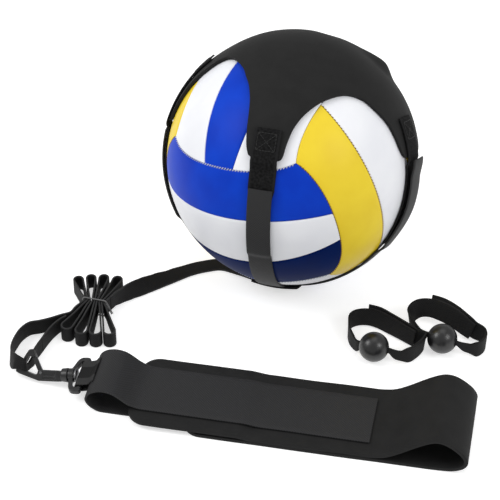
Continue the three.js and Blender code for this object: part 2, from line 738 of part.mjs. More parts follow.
const tabRadius = ringBar / 2 + seatGap + tabThickness / 2;
const tabSeat = tapeThickness / 2 + seatGap + tabThickness / 2 + facetSag / 2;
// Each place beside the curl is a point of the curl, in shares, and the direction outward from it.
const besideCurl = ([a, z, outA, outZ]) => [
  curlLeft + a * curlLength + outA * tabSeat, tapeLow + z * curlRise + outZ * tabSeat,
];
const tabUpperShares = [
  [0.24, 0.965, -0.4, 0.92], [0.16, 0.91, -0.55, 0.84], [0.08, 0.81, -0.84, 0.54], [0.025, 0.68, -0.95, 0.3],
];
const tabLowerShares = [[0.012, 0.38, -0.98, -0.2], [0.05, 0.25, -0.9, -0.44], [0.115, 0.14, -0.72, -0.69]];
const tabBendShares = [[0.5, 1], [-0.6, 0.8], [-1, 0], [-0.6, -0.8], [0.5, -1]];
const tabProfile = [
  ...tabUpperShares.map(besideCurl),
  ...tabBendShares.map(([a, z]) => [-hookPlace + a * tabRadius, hookHeight + z * tabRadius]),
  ...tabLowerShares.map(besideCurl),
];
addPiece(belt, 'ring_tab', band({
  profile: tabProfile,
  front: hookDepth - tabWidth / 2,
  width: tabWidth,
  thickness: tabThickness,
  steps: 22,
  startCorner: 0,
  endCorner: 0,
}), hookTape);

const ringFrame = new THREE.Group();
ringFrame.position.set(-hookPlace, hookDepth, hookHeight);
const uAxis = vec(-Math.cos(rad(hookDrop)), 0, -Math.sin(rad(hookDrop)));
const acrossAxis = yAxis.clone().negate();
const upAxis = uAxis.clone().cross(acrossAxis);
ringFrame.setRotationFromMatrix(new THREE.Matrix4().makeBasis(uAxis, acrossAxis, upAxis));
belt.add(ringFrame);

function plate(outline, thickness) {
  const shape = new THREE.Shape(outline.map(([x, y]) => new THREE.Vector2(x, y)));
  const geometry = new THREE.ExtrudeGeometry(shape, { depth: thickness, bevelEnabled: false });
  geometry.translate(0, 0, -thickness / 2);
  return geometry;
}

function rod(radius, from, to, segments = 20) {
  const geometry = new THREE.CylinderGeometry(radius, radius, to - from, segments);
  geometry.rotateZ(-Math.PI / 2);
  geometry.translate((from + to) / 2, 0, 0);
  return geometry;
}

const half = ringWidth / 2;
const slot = ringSlot / 2;
const barHalf = ringBar / 2;
const bossBack = ringFace - bossLength;
// The ring's outline from the bar's end round to the boss, and the slot inside it, on one side.
const ringEdgeShares = [[0.4583, 0.97], [0.6667, 0.83], [0.85, 0.4375], [0.95, 0.2875]];
const ringSide = [
  [-barHalf, half * 0.9], [-barHalf / 2, half * 0.98], [barHalf, half],
  ...ringEdgeShares.map(([x, y]) => [x * ringFace, y * half]),
];
const slotSide = [[-barHalf - overrun, slot], [ringBar, slot], [bossBack, bossRadius + barHalf]];
const bothSides = (side) => [...side.map(([x, y]) => [x, -y]), ...[...side].reverse()];
const barRod = new THREE.CylinderGeometry(barHalf, barHalf, ringSlot + overrun, 16);
const ringBody = join(cut(
  join(plate(bothSides(ringSide), ringThickness), rod(bossRadius, bossBack, ringFace, 24)),
  plate(bothSides(slotSide), ringThickness * 2 + bossRadius * 2),
  rod(swivelRadius + seatGap, bossBack - overrun, ringFace + overrun),
), barRod);
addPiece(ringFrame, 'swivel_ring', ringBody, plastic);

const hookFrame = new THREE.Group();
hookFrame.rotation.x = rad(hookTilt);
ringFrame.add(hookFrame);

const collarStart = ringFace + seatGap;
const collarEnd = collarStart + collarLength;
const pinFar = collarEnd - pinGrip;
addPiece(hookFrame, 'swivel_pin', join(
  rod(swivelHead, bossBack - seatGap - swivelHeadLength, bossBack - seatGap),
  rod(swivelRadius, bossBack - seatGap - overrun / 2, pinFar),
), steel);

const shankTop = shankLow + shankHeight;
const gateLine = new THREE.Vector2(gateNose[0] - gatePivot[0], gateNose[1] - gatePivot[1]).normalize();
const gateAngle = gateLine.angle();
const gateHalf = gateThickness / 2;
// A place beside the gate's middle line, at a distance from the pivot and outward from the eye.
const besideGate = (along, outward) => [
  gatePivot[0] + gateLine.x * along - gateLine.y * outward,
  gatePivot[1] + gateLine.y * along + gateLine.x * outward,
];
const noseEnd = gateTip + seatGap;
// The bow's outer and inner edges, in shares of the hook's length and of the nose's height.
const bowOuterShares = [
  [0.7895, -0.155], [0.9719, 0.03], [0.9947, 0.09], [0.9912, 0.17], [0.8877, 0.62], [0.8316, 0.88],
  [0.8035, 0.98], [0.7719, 1], [0.7491, 0.97],
];
const bowInnerShares = [
  [0.8105, 0.7], [0.8439, 0.51], [0.893, 0.27], [0.9018, 0.18], [0.8561, 0.11], [0.7719, 0.025],
  [0.7298, -0.01], [0.7088, -0.03], [0.6772, 0.02], [0.6632, 0.14], [0.6211, 0.17],
];
const onBow = ([u, v]) => [u * eyeEnd, v * noseHeight];
const hookOutline = [
  [collarEnd - overrun, shankLow + hookChamfer], [collarEnd + hookChamfer * 2, shankLow],
  [shankEnd + hookChamfer * 2, shankLow], ...bowOuterShares.map(onBow),
  besideGate(noseEnd, gateHalf), besideGate(noseEnd - lipReach, gateHalf),
  besideGate(noseEnd - lipReach, lipInner), besideGate(noseEnd, lipInner), besideGate(noseEnd, -gateHalf),
  besideGate(noseEnd + hookChamfer, -gateHalf - hookChamfer / 2), ...bowInnerShares.map(onBow),
  [collarEnd + hookChamfer * 2, shankTop], [collarEnd - overrun, shankTop - hookChamfer],
];

// The gate: an arm from the pivot to the nose, with a round heel and a step under the nose's lip.
function gateShape() {
  const outline = [];
  for (let i = 0; i <= 10; i++) {
    const angle = Math.PI / 2 + Math.PI * i / 10;
    outline.push([gateHalf * Math.cos(angle), gateHalf * Math.sin(angle)]);
  }
  outline.push([gateTip - hookChamfer, -gateHalf], [gateTip, -gateHalf * 0.6], [gateTip, lipInner - seatGap]);
  outline.push([gateTip - lipReach, lipInner - seatGap], [gateTip - lipReach, gateHalf]);
  return outline;
}
const placeGate = (geometry) => {
  geometry.rotateZ(gateAngle);
  geometry.translate(...gatePivot, 0);
  return geometry;
};
const pinBore = (radius, length) => {
  const geometry = new THREE.CylinderGeometry(radius, radius, length, 16);
  geometry.rotateX(Math.PI / 2);
  geometry.translate(...gatePivot, 0);
  return geometry;
};
const slotPlate = ([left, low], [right, top], width) => plate(
  [[left, low], [right, low], [right, top], [left, top]], width);
const slotWidth = gateWidth + seatGap * 2;
const gateSlot = slotPlate([gatePivot[0] - gateSlotBack, gatePivot[1] - gateSlotDepth],
  [gatePivot[0] + gateSlotFront, shankTop + overrun], slotWidth);
const leafFloor = shankTop - leafDepth;
const leafStart = collarEnd + leafInset;
const leafSlot = slotPlate([leafStart, leafFloor], [gatePivot[0], shankTop + overrun], slotWidth);
const hookBody = cut(
  join(plate(hookOutline, hookThickness), rod(bossRadius + seatGap, collarStart, collarEnd, 24)),
  rod(swivelRadius + seatGap, collarStart - overrun, pinFar + seatGap),
  gateSlot,
  leafSlot,
  pinBore(gatePinRadius + seatGap, hookThickness + overrun),
);
addPiece(hookFrame, 'hook_body', hookBody, plastic);
addPiece(hookFrame, 'gate_leaf', slotPlate([leafStart + seatGap, leafFloor + seatGap],
  [gatePivot[0] - gateHalf - seatGap * 2, leafFloor + seatGap + leafThickness], gateWidth), steel);
addPiece(hookFrame, 'gate_pin', pinBore(gatePinRadius, hookThickness), steel);
addPiece(hookFrame, 'hook_gate', cut(
  placeGate(plate(gateShape(), gateWidth)),
  pinBore(gatePinRadius + seatGap, gateWidth + overrun),
), plastic);

// The lead's end loop runs past the bow, through the hook's eye, behind the gate and back, where it
// is sewn to itself.
model.updateMatrixWorld(true);
const inHook = (u, v, n) => hookFrame.localToWorld(vec(u, v, n));
const hankExit = hankRoute.at(-1).clone().addScaledVector(runOut, seatGap);
addPiece(model, 'lead_hook_loop', strip({
  route: [
    hankExit, hankExit.clone().addScaledVector(runOut, straightEnd / 2),
    vec(-185.5, -88, onEdge), vec(-193.5, -91.5, onEdge),
    vec(-203, -96, onEdge), vec(-211, -98.8, onEdge), vec(-219, -101, onEdge), vec(-225, -107.5, onEdge),
    vec(-229, -117, onEdge), vec(-231.5, -128, 7.6), vec(-231.2, -138, 8.6),
    inHook(59.2, 10, -2.4), inHook(54.8, 10, -5.6), inHook(50.2, 9.6, -5.8), inHook(46.8, 8.8, -5.2),
    inHook(45, 8.2, -2.6), inHook(44.6, 8.1, 0.6), inHook(44.7, 8.8, 4), inHook(44.8, 10.7, 8),
    vec(-212, -133, onEdge), vec(-207.6, -122, onEdge), vec(-203.4, -112, onEdge),
    vec(-199, -103.6, onEdge), vec(-193.6, -96.6, onEdge), vec(-188.8, -92.6, onEdge),
  ],
  rolls: [
    90, 90, 90, 90, 90, 90, 90, 90, 90, 92, 98, 112, 124, 128, 118, 106, 99, 96, 93, 90, 90, 90, 90, 90, 90,
  ],
  widthShares: [
    1, 1, 1, 1, 1, 1, 1, 1, 1, 1, 1, 0.92, 0.82, 0.72, 0.6, 0.52, 0.5, 0.54, 0.7, 0.95, 1, 1, 1, 1, 1,
  ],
  width: leadWidth,
  thickness: leadThickness,
  steps: 60,
}), webbing);

// Each loop's line from its inner end to the ball, and on from the ball, in loop lengths.
const palmRouteShares = {
  left: {
    inner: [
      [0.575, 0.2333], [0.4167, 0.3617], [0.2333, 0.5117], [0.0833, 0.625], [-0.05, 0.6783],
      [-0.2, 0.675], [-0.2917, 0.6], [-0.325, 0.45], [-0.3083, 0.2833], [-0.25, 0.15],
    ],
    front: [
      [0.3417, -0.0917], [0.4833, -0.0767], [0.6083, 0.0333], [0.69, 0.15], [0.71, 0.2333],
    ],
  },
  right: {
    inner: [
      [0.4333, 0.2], [0.3167, 0.3], [0.1667, 0.4333], [0.0167, 0.5367], [-0.1333, 0.61],
      [-0.2833, 0.6317], [-0.3833, 0.5667], [-0.4133, 0.45], [-0.375, 0.3083], [-0.2933, 0.18],
    ],
    front: [
      [0.35, -0.11], [0.475, -0.1333], [0.5667, -0.0567], [0.6083, 0.0583], [0.575, 0.1667],
    ],
  },
};
const pinchShares = [0.3, 0.26, 0.3];     // the band's width in the bore
const pinchedThickShare = 1.6;
const layerPitch = palmBandThickness + palmPatchThickness + seatGap * 2;
const palmPlaces = {
  left: palmLeftPlace,
  right: palmLeftPlace.map((place, i) => place + palmBetweenShares[i] * palmLoopLength),
};
for (const [side, [px, py]] of Object.entries(palmPlaces)) {
  const centre = vec(px, py, palmBallRadius);
  const bore = rad(palmBores[side]);
  const boreAxis = vec(Math.cos(bore), Math.sin(bore), 0);
  const profile = arcPoints(palmBallRadius, Math.asin(palmBoreRadius / palmBallRadius),
    Math.PI - Math.asin(palmBoreRadius / palmBallRadius), 12);
  profile.push(profile[0].clone());
  const ballMesh = addPiece(model, `palm_ball_${side}`, closedLathe(profile, 24), rubber);
  ballMesh.position.copy(centre);
  ballMesh.quaternion.setFromUnitVectors(yAxis, boreAxis);

  const high = palmBandWidth / 2;
  const { inner, front } = palmRouteShares[side];
  const at = ([x, y]) => vec(px + x * palmLoopLength, py + y * palmLoopLength, high);
  const innerRoute = inner.map(at);
  const outerByInner = innerRoute.slice(0, 5).map((p, i) => {
    const ahead = innerRoute[i + 1].clone().sub(innerRoute[Math.max(i - 1, 0)]).normalize();
    return p.clone().addScaledVector(vec(ahead.y, -ahead.x, 0), layerPitch);
  });
  const fastenerRoute = innerRoute.slice(1, 5).map((p, i) => p.clone().lerp(outerByInner[i + 1], 0.5));
  addPiece(model, `palm_fastener_${side}`, strip({
    route: fastenerRoute,
    rolls: 90,
    width: palmBandWidth - palmFastenerMargin,
    thickness: palmPatchThickness,
    steps: 10,
  }), hookTape);
  const entry = centre.clone().addScaledVector(boreAxis, -palmBallRadius);
  const exit = centre.clone().addScaledVector(boreAxis, palmBallRadius);
  const route = [...innerRoute, entry, centre, exit, ...front.map(at), ...outerByInner];
  const widthShares = [
    ...innerRoute.map((_, i) => (i === innerRoute.length - 1 ? 0.85 : 1)), ...pinchShares,
    ...front.map((_, i) => (i === 0 ? 0.62 : 1)), ...outerByInner.map(() => 1),
  ];
  const thickShares = widthShares.map((share) => (pinchShares.includes(share) ? pinchedThickShare : 1));
  addPiece(model, `palm_band_${side}`, strip({
    route,
    rolls: 90,
    width: palmBandWidth,
    thickness: palmBandThickness,
    steps: 52,
    widthShares,
    thickShares,
  }), webbing);
}

// The origin is under the middle of the set, on the surface that it lies on. The lead isn't counted.
const leadNames = ['lead_to_hank', 'lead_hank', 'lead_hook_loop', 'hank_tie'];
model.updateMatrixWorld(true);
const bounds = new THREE.Box3();
model.traverse((piece) => {
  if (piece.isMesh && !leadNames.includes(piece.name)) bounds.expandByObject(piece, true);
});
const middle = bounds.getCenter(vec(0, 0, 0));
model.position.set(-middle.x, -middle.y, -bounds.min.z);

export default model;
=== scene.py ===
# A volleyball rebounder: ball in its harness, folded lead, waist belt with a snap hook, two palm straps.
import math
import bpy
import numpy as np
from mathutils import Matrix, Vector, noise


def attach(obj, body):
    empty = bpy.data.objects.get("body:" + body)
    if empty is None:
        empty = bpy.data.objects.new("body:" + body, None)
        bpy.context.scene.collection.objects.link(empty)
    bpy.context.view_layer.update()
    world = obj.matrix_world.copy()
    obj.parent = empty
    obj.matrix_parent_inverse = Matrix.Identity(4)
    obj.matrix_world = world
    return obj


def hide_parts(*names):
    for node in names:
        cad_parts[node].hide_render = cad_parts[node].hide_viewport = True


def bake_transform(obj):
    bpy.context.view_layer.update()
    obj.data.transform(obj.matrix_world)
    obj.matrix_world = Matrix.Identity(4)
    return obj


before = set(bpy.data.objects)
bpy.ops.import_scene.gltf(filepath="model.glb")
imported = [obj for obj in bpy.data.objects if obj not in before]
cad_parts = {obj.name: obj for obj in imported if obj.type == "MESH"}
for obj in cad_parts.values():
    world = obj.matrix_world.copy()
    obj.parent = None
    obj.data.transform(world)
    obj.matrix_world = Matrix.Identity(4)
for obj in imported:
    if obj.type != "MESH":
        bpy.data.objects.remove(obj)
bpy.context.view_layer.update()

mm = 0.001
ballCentre = Vector((32.4225, 76.0557, 107.2075)) * mm
layoutShift = Vector((32.4225, 76.0557, 0)) * mm      # from the drawing's own origin to the frame's


def deselectAll():
    if bpy.context.object and bpy.context.object.mode != "OBJECT":
        bpy.ops.object.mode_set(mode="OBJECT")
    bpy.ops.object.select_all(action="DESELECT")


def takeNew(name):
    piece = bpy.context.object
    piece.name = name
    piece.data.name = name
    return piece


def selectOnly(piece):
    deselectAll()
    piece.select_set(True)
    bpy.context.view_layer.objects.active = piece


def applyModifier(piece, kind, **values):
    selectOnly(piece)
    modifier = piece.modifiers.new(kind.title(), kind)
    for name, value in values.items():
        setattr(modifier, name, value)
    bpy.ops.object.modifier_apply(modifier=modifier.name)


def addObject(name, data):
    made = bpy.data.objects.new(name, data)
    bpy.context.scene.collection.objects.link(made)
    return made


def roundEdges(piece, width, segments=3, degrees=50):
    applyModifier(piece, "BEVEL", width=width, segments=segments, limit_method="ANGLE",
                  angle_limit=math.radians(degrees))


def thicken(piece, thickness, offset=0, even=True):
    applyModifier(piece, "SOLIDIFY", thickness=thickness, offset=offset, use_even_offset=even)


def combine(piece, others, operation):
    for other in others:
        applyModifier(piece, "BOOLEAN", operation=operation, object=other, solver="EXACT")
        bpy.data.objects.remove(other, do_unlink=True)


# A grid of faces, whose point in row i and column k lies at placeOf(i, k).
def newGrid(name, across, along, placeOf):
    deselectAll()
    bpy.ops.mesh.primitive_grid_add(x_subdivisions=across, y_subdivisions=along)
    piece = takeNew(name)
    for vertex in piece.data.vertices:
        vertex.co = placeOf(*divmod(vertex.index, across + 1))
    return piece


def smoothByAngle(piece, degrees):
    selectOnly(piece)
    bpy.ops.object.shade_smooth_by_angle(angle=math.radians(degrees))


# The whole piece in edit mode: its faces turned over, or its doubles merged and its faces made to agree.
def editWhole(piece, flip=False, merge=0.0):
    selectOnly(piece)
    bpy.ops.object.mode_set(mode="EDIT")
    bpy.ops.mesh.select_all(action="SELECT")
    if merge:
        bpy.ops.mesh.remove_doubles(threshold=merge)
    if flip:
        bpy.ops.mesh.flip_normals()
    else:
        bpy.ops.mesh.normals_make_consistent(inside=False)
    bpy.ops.object.mode_set(mode="OBJECT")


# Before a piece gets its thickness, its faces look away from the centre.
def turnOutward(piece, centre):
    piece.data.update()
    face = piece.data.polygons[len(piece.data.polygons) // 2]
    if face.normal.dot(face.center - centre) < 0:
        editWhole(piece, flip=True)


def paint(piece, material, slot, body=None, replaced=None):
    piece.data.materials.clear()
    piece.data.materials.append(material)
    if body:
        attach(piece, body)
    if replaced:
        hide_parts(replaced)


def turned(angles):
    x, y, z = (math.radians(a) for a in angles)
    return Matrix.Rotation(x, 3, "X") @ Matrix.Rotation(y, 3, "Y") @ Matrix.Rotation(z, 3, "Z")


def smoothStep(value):
    value = min(max(value, 0.0), 1.0)
    return value * value * (3 - 2 * value)


def fading(at, height, start, over):
    return height * (1 - smoothStep((at - start) / over))


def wave(place, size, seed):        # gentle unevenness, -1 to 1
    return noise.noise(Vector(place) / size + Vector((seed, seed * 1.7, -seed)))


# A smooth line through points, the same kind of curve that the solids follow.
def smoothLine(points, spacing):
    points = [Vector(p) for p in points]
    ends = [points[0] * 2 - points[1]] + points + [points[-1] * 2 - points[-2]]
    line, marks = [], []
    for i in range(1, len(ends) - 2):
        p0, p1, p2, p3 = ends[i - 1:i + 3]
        d0, d1, d2 = (max((b - a).length ** 0.5, 1e-6) for a, b in ((p0, p1), (p1, p2), (p2, p3)))
        t1 = ((p1 - p0) / d0 - (p2 - p0) / (d0 + d1) + (p2 - p1) / d1) * d1
        t2 = ((p2 - p1) / d1 - (p3 - p1) / (d1 + d2) + (p3 - p2) / d2) * d1
        steps = max(2, math.ceil((p2 - p1).length / spacing))
        for k in range(steps):
            t = k / steps
            line.append(p1 * (2 * t**3 - 3 * t**2 + 1) + t1 * (t**3 - 2 * t**2 + t)
                        + p2 * (3 * t**2 - 2 * t**3) + t2 * (t**3 - t**2))
            marks.append(i - 1 + t)
    line.append(points[-1])
    marks.append(len(points) - 1)
    return line, marks


def reaches(line):                  # the way along a line to each of its points
    steps = [0.0]
    for a, b in zip(line, line[1:]):
        steps.append(steps[-1] + (b - a).length)
    return steps


def placeAt(line, steps, distance):     # and the number of the step that it lies on
    k = min(int(np.searchsorted(steps, distance, side="right")) - 1, len(line) - 2)
    share = (distance - steps[k]) / max(steps[k + 1] - steps[k], 1e-9)
    return line[k].lerp(line[k + 1], min(share, 1.0)), k


def alongList(values, mark):
    i = min(int(mark), len(values) - 2)
    return values[i] + (values[i + 1] - values[i]) * smoothStep(mark - i)


def tangents(line):
    return [(line[min(i + 1, len(line) - 1)] - line[max(i - 1, 0)]).normalized() for i in range(len(line))]


# Webbing is a flat grid whose rows are laid along a line and then given its thickness. The place of
# each row is given by its middle, its sideways direction and its width.
def layWebbing(name, rows, thickness, across=6, edgeRound=0.35, around=None):
    def placeOf(i, k):
        middle, side, width = rows[i]
        place = middle + side * (k / across - 0.5) * width
        if around is not None:      # wrapped on a ball
            place = around + (place - around).normalized() * (middle - around).length
        return place

    piece = newGrid(name, across, len(rows) - 1, placeOf)
    reach = reaches([row[0] for row in rows])
    uv = piece.data.uv_layers.active.data
    for loop in piece.data.loops:
        i, k = divmod(loop.vertex_index, across + 1)
        uv[loop.index].uv = ((k / across - 0.5) * rows[i][2], reach[i])
    thicken(piece, thickness)
    roundEdges(piece, edgeRound * thickness, 2)
    smoothByAngle(piece, 35)
    return piece


# A flat piece's width and length as a sheet are printed.
def declareFlat(piece, rows, width):
    steps = [((b[0] - a[0]).length, (a[2] + b[2]) / 2) for a, b in zip(rows, rows[1:])]
    length = sum(step for step, wide in steps)
    print(piece.name, "sheet", round(width, 4), round(length, 4))


# Rows of a strip along a line, whose roll is the angle of its width from level.
def rolledRows(points, rolls, width, spacing, shares=None, lift=0.0):
    line, marks = smoothLine(points, spacing)
    rows = []
    for place, ahead, mark in zip(line, tangents(line), marks):
        roll = math.radians(rolls if isinstance(rolls, (int, float)) else alongList(rolls, mark))
        level = Vector((ahead.y, -ahead.x, 0)).normalized()
        side = level * math.cos(roll) + level.cross(ahead).normalized() * math.sin(roll)
        wide = width * (alongList(shares, mark) if shares else 1)
        face = side.cross(ahead).normalized()
        place = place.copy()
        place.z = max(place.z, wide / 2 * abs(side.z) + lift * abs(face.z))
        rows.append((place, side, wide))
    return rows


# A node's inputs, by name or number, are linked where a socket is given and set where a value is.
def feed(tree, node, inputs):
    for name, value in inputs.items():
        if isinstance(value, bpy.types.NodeSocket):
            tree.links.new(value, node.inputs[name])
        else:
            node.inputs[name].default_value = value


def addNode(tree, kind, inputs={}, **settings):
    node = tree.nodes.new(f"ShaderNode{kind}")
    for name, value in settings.items():
        setattr(node, name, value)
    feed(tree, node, inputs)
    return node


def mathNode(tree, operation, *values):
    return addNode(tree, "Math", dict(enumerate(values)), operation=operation).outputs[0]


# A shared group takes a vector and named numbers, and puts out named values.
def newGroup(name, numbers, results):
    group = bpy.data.node_groups.new(name, "ShaderNodeTree")
    group.interface.new_socket(name="Vector", in_out="INPUT", socket_type="NodeSocketVector")
    for label, value in numbers.items():
        socket = group.interface.new_socket(name=label, in_out="INPUT", socket_type="NodeSocketFloat")
        socket.default_value = value
    for label in results:
        group.interface.new_socket(name=label, in_out="OUTPUT", socket_type="NodeSocketFloat")
    return group, group.nodes.new("NodeGroupInput").outputs, group.nodes.new("NodeGroupOutput")


# Fine fibres and specks: a height and a mask from two sizes of noise.
def makeFibreGroup():
    group, given, result = newGroup("fibres", {"Fine": 2500.0, "Coarse": 300.0}, ("Height", "Mask"))
    at = given["Vector"]
    fine = addNode(group, "TexNoise", {"Vector": at, "Scale": given["Fine"], "Detail": 3, "Roughness": 0.7})
    specks = addNode(group, "TexNoise", {"Vector": at, "Scale": given["Coarse"], "Detail": 2}).outputs["Fac"]
    height = mathNode(group, "MULTIPLY_ADD", specks, 0.5, fine.outputs["Fac"])
    feed(group, result, {"Height": height, "Mask": specks})
    return group


# A plain weave read from the piece's own map, in metres: u across the webbing and v along it.
def makeWeaveGroup():
    group, given, result = newGroup("weave", {"Across": 0.0008, "Along": 0.0006}, ("Height",))
    split = addNode(group, "SeparateXYZ", {0: given["Vector"]}).outputs
    sines = []
    for axis, pitch in (("X", "Across"), ("Y", "Along")):
        count = mathNode(group, "DIVIDE", split[axis], given[pitch])
        sines.append(mathNode(group, "SINE", mathNode(group, "MULTIPLY", count, math.pi)))
    height = mathNode(group, "MULTIPLY_ADD", mathNode(group, "MULTIPLY", *sines), 0.5, 0.5)
    feed(group, result, {"Height": height})
    return group


# The pebbled face of the ball's synthetic leather.
def makeGrainGroup():
    group, given, result = newGroup("leatherGrain", {"Scale": 900.0}, ("Height", "Mask"))
    at = given["Vector"]
    cells = addNode(group, "TexVoronoi", {"Vector": at, "Scale": given["Scale"], "Smoothness": 0.6},
                    feature="SMOOTH_F1")
    blotch = addNode(group, "TexNoise", {"Vector": at, "Scale": 28, "Detail": 3})
    feed(group, result, {"Height": cells.outputs["Distance"], "Mask": blotch.outputs["Fac"]})
    return group


fibreGroup = makeFibreGroup()
weaveGroup = makeWeaveGroup()
grainGroup = makeGrainGroup()


def placeGroup(tree, group, vector, **values):
    return addNode(tree, "Group", {"Vector": vector, **values}, node_tree=group).outputs


def newMaterial(name, roughness, **sockets):
    material = bpy.data.materials.new(name)
    material.use_nodes = True
    shader = material.node_tree.nodes["Principled BSDF"]
    named = {label.replace("_", " "): value for label, value in sockets.items()}
    feed(material.node_tree, shader, {"Roughness": roughness, **named})
    return material, material.node_tree, shader


def mixColours(tree, mask, first, second, low=0.35, high=0.65):
    ramp = addNode(tree, "ValToRGB", {"Fac": mask})
    for element, place, colour in zip(ramp.color_ramp.elements, (low, high), (first, second)):
        element.position, element.color = place, (*colour, 1)
    return ramp.outputs["Color"]


# What a material ends with: its colour, its bump and, with a mask, a roughness that changes with it.
def finishShader(tree, shader, colour, height, distance, strength, mask=None, low=0.0, high=1.0):
    bump = addNode(tree, "Bump", {"Strength": strength, "Distance": distance, "Height": height})
    feed(tree, shader, {"Base Color": colour, "Normal": bump.outputs["Normal"]})
    if mask:
        change = addNode(tree, "MapRange", {"To Min": low, "To Max": high, "Value": mask})
        feed(tree, shader, {"Roughness": change.outputs["Result"]})


# Colour, roughness and bump from one shared group, on the piece's own coordinates.
def plainMaterial(name, group, scales, dark, light, roughness, bump, strength=0.5, reach=(0.06, 0.06),
                  **sockets):
    material, tree, shader = newMaterial(name, roughness, **sockets)
    texture = placeGroup(tree, group, addNode(tree, "TexCoord").outputs["Object"], **scales)
    mask = texture["Mask"]
    finishShader(tree, shader, mixColours(tree, mask, dark, light), texture["Height"], bump, strength, mask,
                 roughness - reach[0], roughness + reach[1])
    return material


def leatherMaterial(name, dark, light, roughness, specular):
    return plainMaterial(name, grainGroup, {"Scale": 900.0}, dark, light, roughness, 0.00006,
                         reach=(0.05, 0.06), Specular_IOR_Level=specular)


def mouldedMaterial(name, dark, light, roughness, bump, **sockets):
    scales = {"Fine": 1800.0, "Coarse": 150.0}
    return plainMaterial(name, fibreGroup, scales, dark, light, roughness, bump, **sockets)


# 0 on the middle of a webbing and 1 on its edges, by the distance from the middle line.
def edgeMask(tree, at, start, end):
    split = addNode(tree, "SeparateXYZ", {0: at}).outputs
    aside = mathNode(tree, "ABSOLUTE", split["X"])
    return addNode(tree, "MapRange", {"From Min": start, "From Max": end, "Value": aside}).outputs["Result"]


# The colour at a webbing's edges: a real woven edge on the loop tape, a painted highlight on the lead.
def edgeColourAndHighlight(tree, mask, face, edge):
    return addNode(tree, "Mix", {"Factor": mask, 6: face, 7: (*edge, 1)}, data_type="RGBA").outputs[2]


# Webbing whose weave follows the piece. A lighter edge, a painted highlight, is given by where it starts and
# its grey.
def wovenMaterial(name, dark, light, roughness, pitch, bump, specular, edge=None):
    material, tree, shader = newMaterial(name, roughness, Specular_IOR_Level=specular)
    at = addNode(tree, "UVMap").outputs["UV"]
    weave = placeGroup(tree, weaveGroup, at, Across=pitch[0], Along=pitch[1])["Height"]
    fibres = placeGroup(tree, fibreGroup, at, Fine=2600.0, Coarse=260.0)
    face = mixColours(tree, weave, dark, light, 0.1, 0.9)
    if edge:
        # a lighter grey towards the edges: painted highlight
        face = edgeColourAndHighlight(tree, edgeMask(tree, at, edge[0] - 0.0006, edge[0]), face, [edge[1]] * 3)
    height = mathNode(tree, "MULTIPLY_ADD", fibres["Height"], 0.35, weave)
    finishShader(tree, shader, face, height, bump, 0.7, fibres["Mask"], roughness - 0.05, roughness + 0.05)
    return material


# Loop tape: a fuzzy middle between two woven edges.
def loopTapeMaterial(name, dark, light, edge):
    material, tree, shader = newMaterial(name, 0.9, Specular_IOR_Level=0.12)
    at = addNode(tree, "UVMap").outputs["UV"]
    mask = edgeMask(tree, at, 0.0086, 0.0094)
    fuzz = placeGroup(tree, fibreGroup, at, Fine=1100.0, Coarse=500.0)
    weave = placeGroup(tree, weaveGroup, at, Across=0.0009, Along=0.0009)
    height = addNode(tree, "Mix", {0: mask, 2: fuzz["Height"], 3: weave["Height"]}).outputs[0]
    face = edgeColourAndHighlight(tree, mask, mixColours(tree, fuzz["Mask"], dark, light), edge)
    finishShader(tree, shader, face, height, 0.00035, 0.7)
    return material


def grey(level, blue=None):
    return (level, level, level if blue is None else blue)


blueLeather = leatherMaterial("blueLeather", (0.0008, 0.036, 0.46), (0.001, 0.05, 0.55), 0.45, 0.1)
# A darker copy of the blue leather: painted shade for the lower blue strip of the front and back faces.
shadedBlueLeather = leatherMaterial("shadedBlueLeather", (0.0006, 0.009, 0.072), (0.0008, 0.012, 0.088), 0.5, 0.03)
yellowLeather = leatherMaterial("yellowLeather", (0.8, 0.58, 0.025), (0.86, 0.65, 0.035), 0.42, 0.2)
whiteLeather = leatherMaterial("whiteLeather", (0.82, 0.83, 0.87), (0.87, 0.88, 0.91), 0.42, 0.3)
paleThread, brownThread, blackThread = (
    mouldedMaterial(name, dark, light, 0.6, 0.00002, Specular_IOR_Level=specular)
    for name, dark, light, specular in (
        ("paleThread", (0.5, 0.53, 0.6), (0.66, 0.68, 0.74), 0.2),
        ("brownThread", (0.16, 0.07, 0.02), (0.24, 0.11, 0.03), 0.2),
        ("blackThread", grey(0.012), grey(0.02), 0.3)))
latex = mouldedMaterial("latex", grey(0.02, 0.021), grey(0.035, 0.036), 0.6, 0.00002)
neoprene = plainMaterial("neoprene", fibreGroup, {"Fine": 2200.0, "Coarse": 70.0}, grey(0.0085), grey(0.0115),
                         0.75, 0.00008, 0.6, (0.05, 0.05), Specular_IOR_Level=0.22)
loopTape = loopTapeMaterial("loopTape", grey(0.003), grey(0.012, 0.0125), grey(0.013, 0.0135))
hookTape = wovenMaterial("hookTape", grey(0.012, 0.0125), grey(0.026, 0.027), 0.62, (0.0011, 0.0011), 0.0001,
                         0.25)
# The lead's lighter edges are a painted highlight along its folds.
leadWebbing = wovenMaterial("leadWebbing", grey(0.0035), grey(0.0095, 0.01), 0.7, (0.0011, 0.0009), 0.00014,
                            0.2, (0.0068, 0.026))
palmWebbing = wovenMaterial("palmWebbing", grey(0.004), grey(0.011, 0.0115), 0.7, (0.0011, 0.0009), 0.00014,
                            0.2)
plastic = mouldedMaterial("blackPlastic", grey(0.009, 0.0095), grey(0.014, 0.0145), 0.34, 0.00002,
                          Specular_IOR_Level=0.45)
rubber = mouldedMaterial("ballRubber", grey(0.0035, 0.004), grey(0.005, 0.0055), 0.34, 0.00002,
                         Specular_IOR_Level=0.6)
tieWire = mouldedMaterial("tieWire", grey(0.1), grey(0.14), 0.4, 0.00001)
steel = mouldedMaterial("steel", grey(0.16, 0.165), grey(0.22, 0.225), 0.34, 0.000005, Metallic=1.0)
print("materials ready")


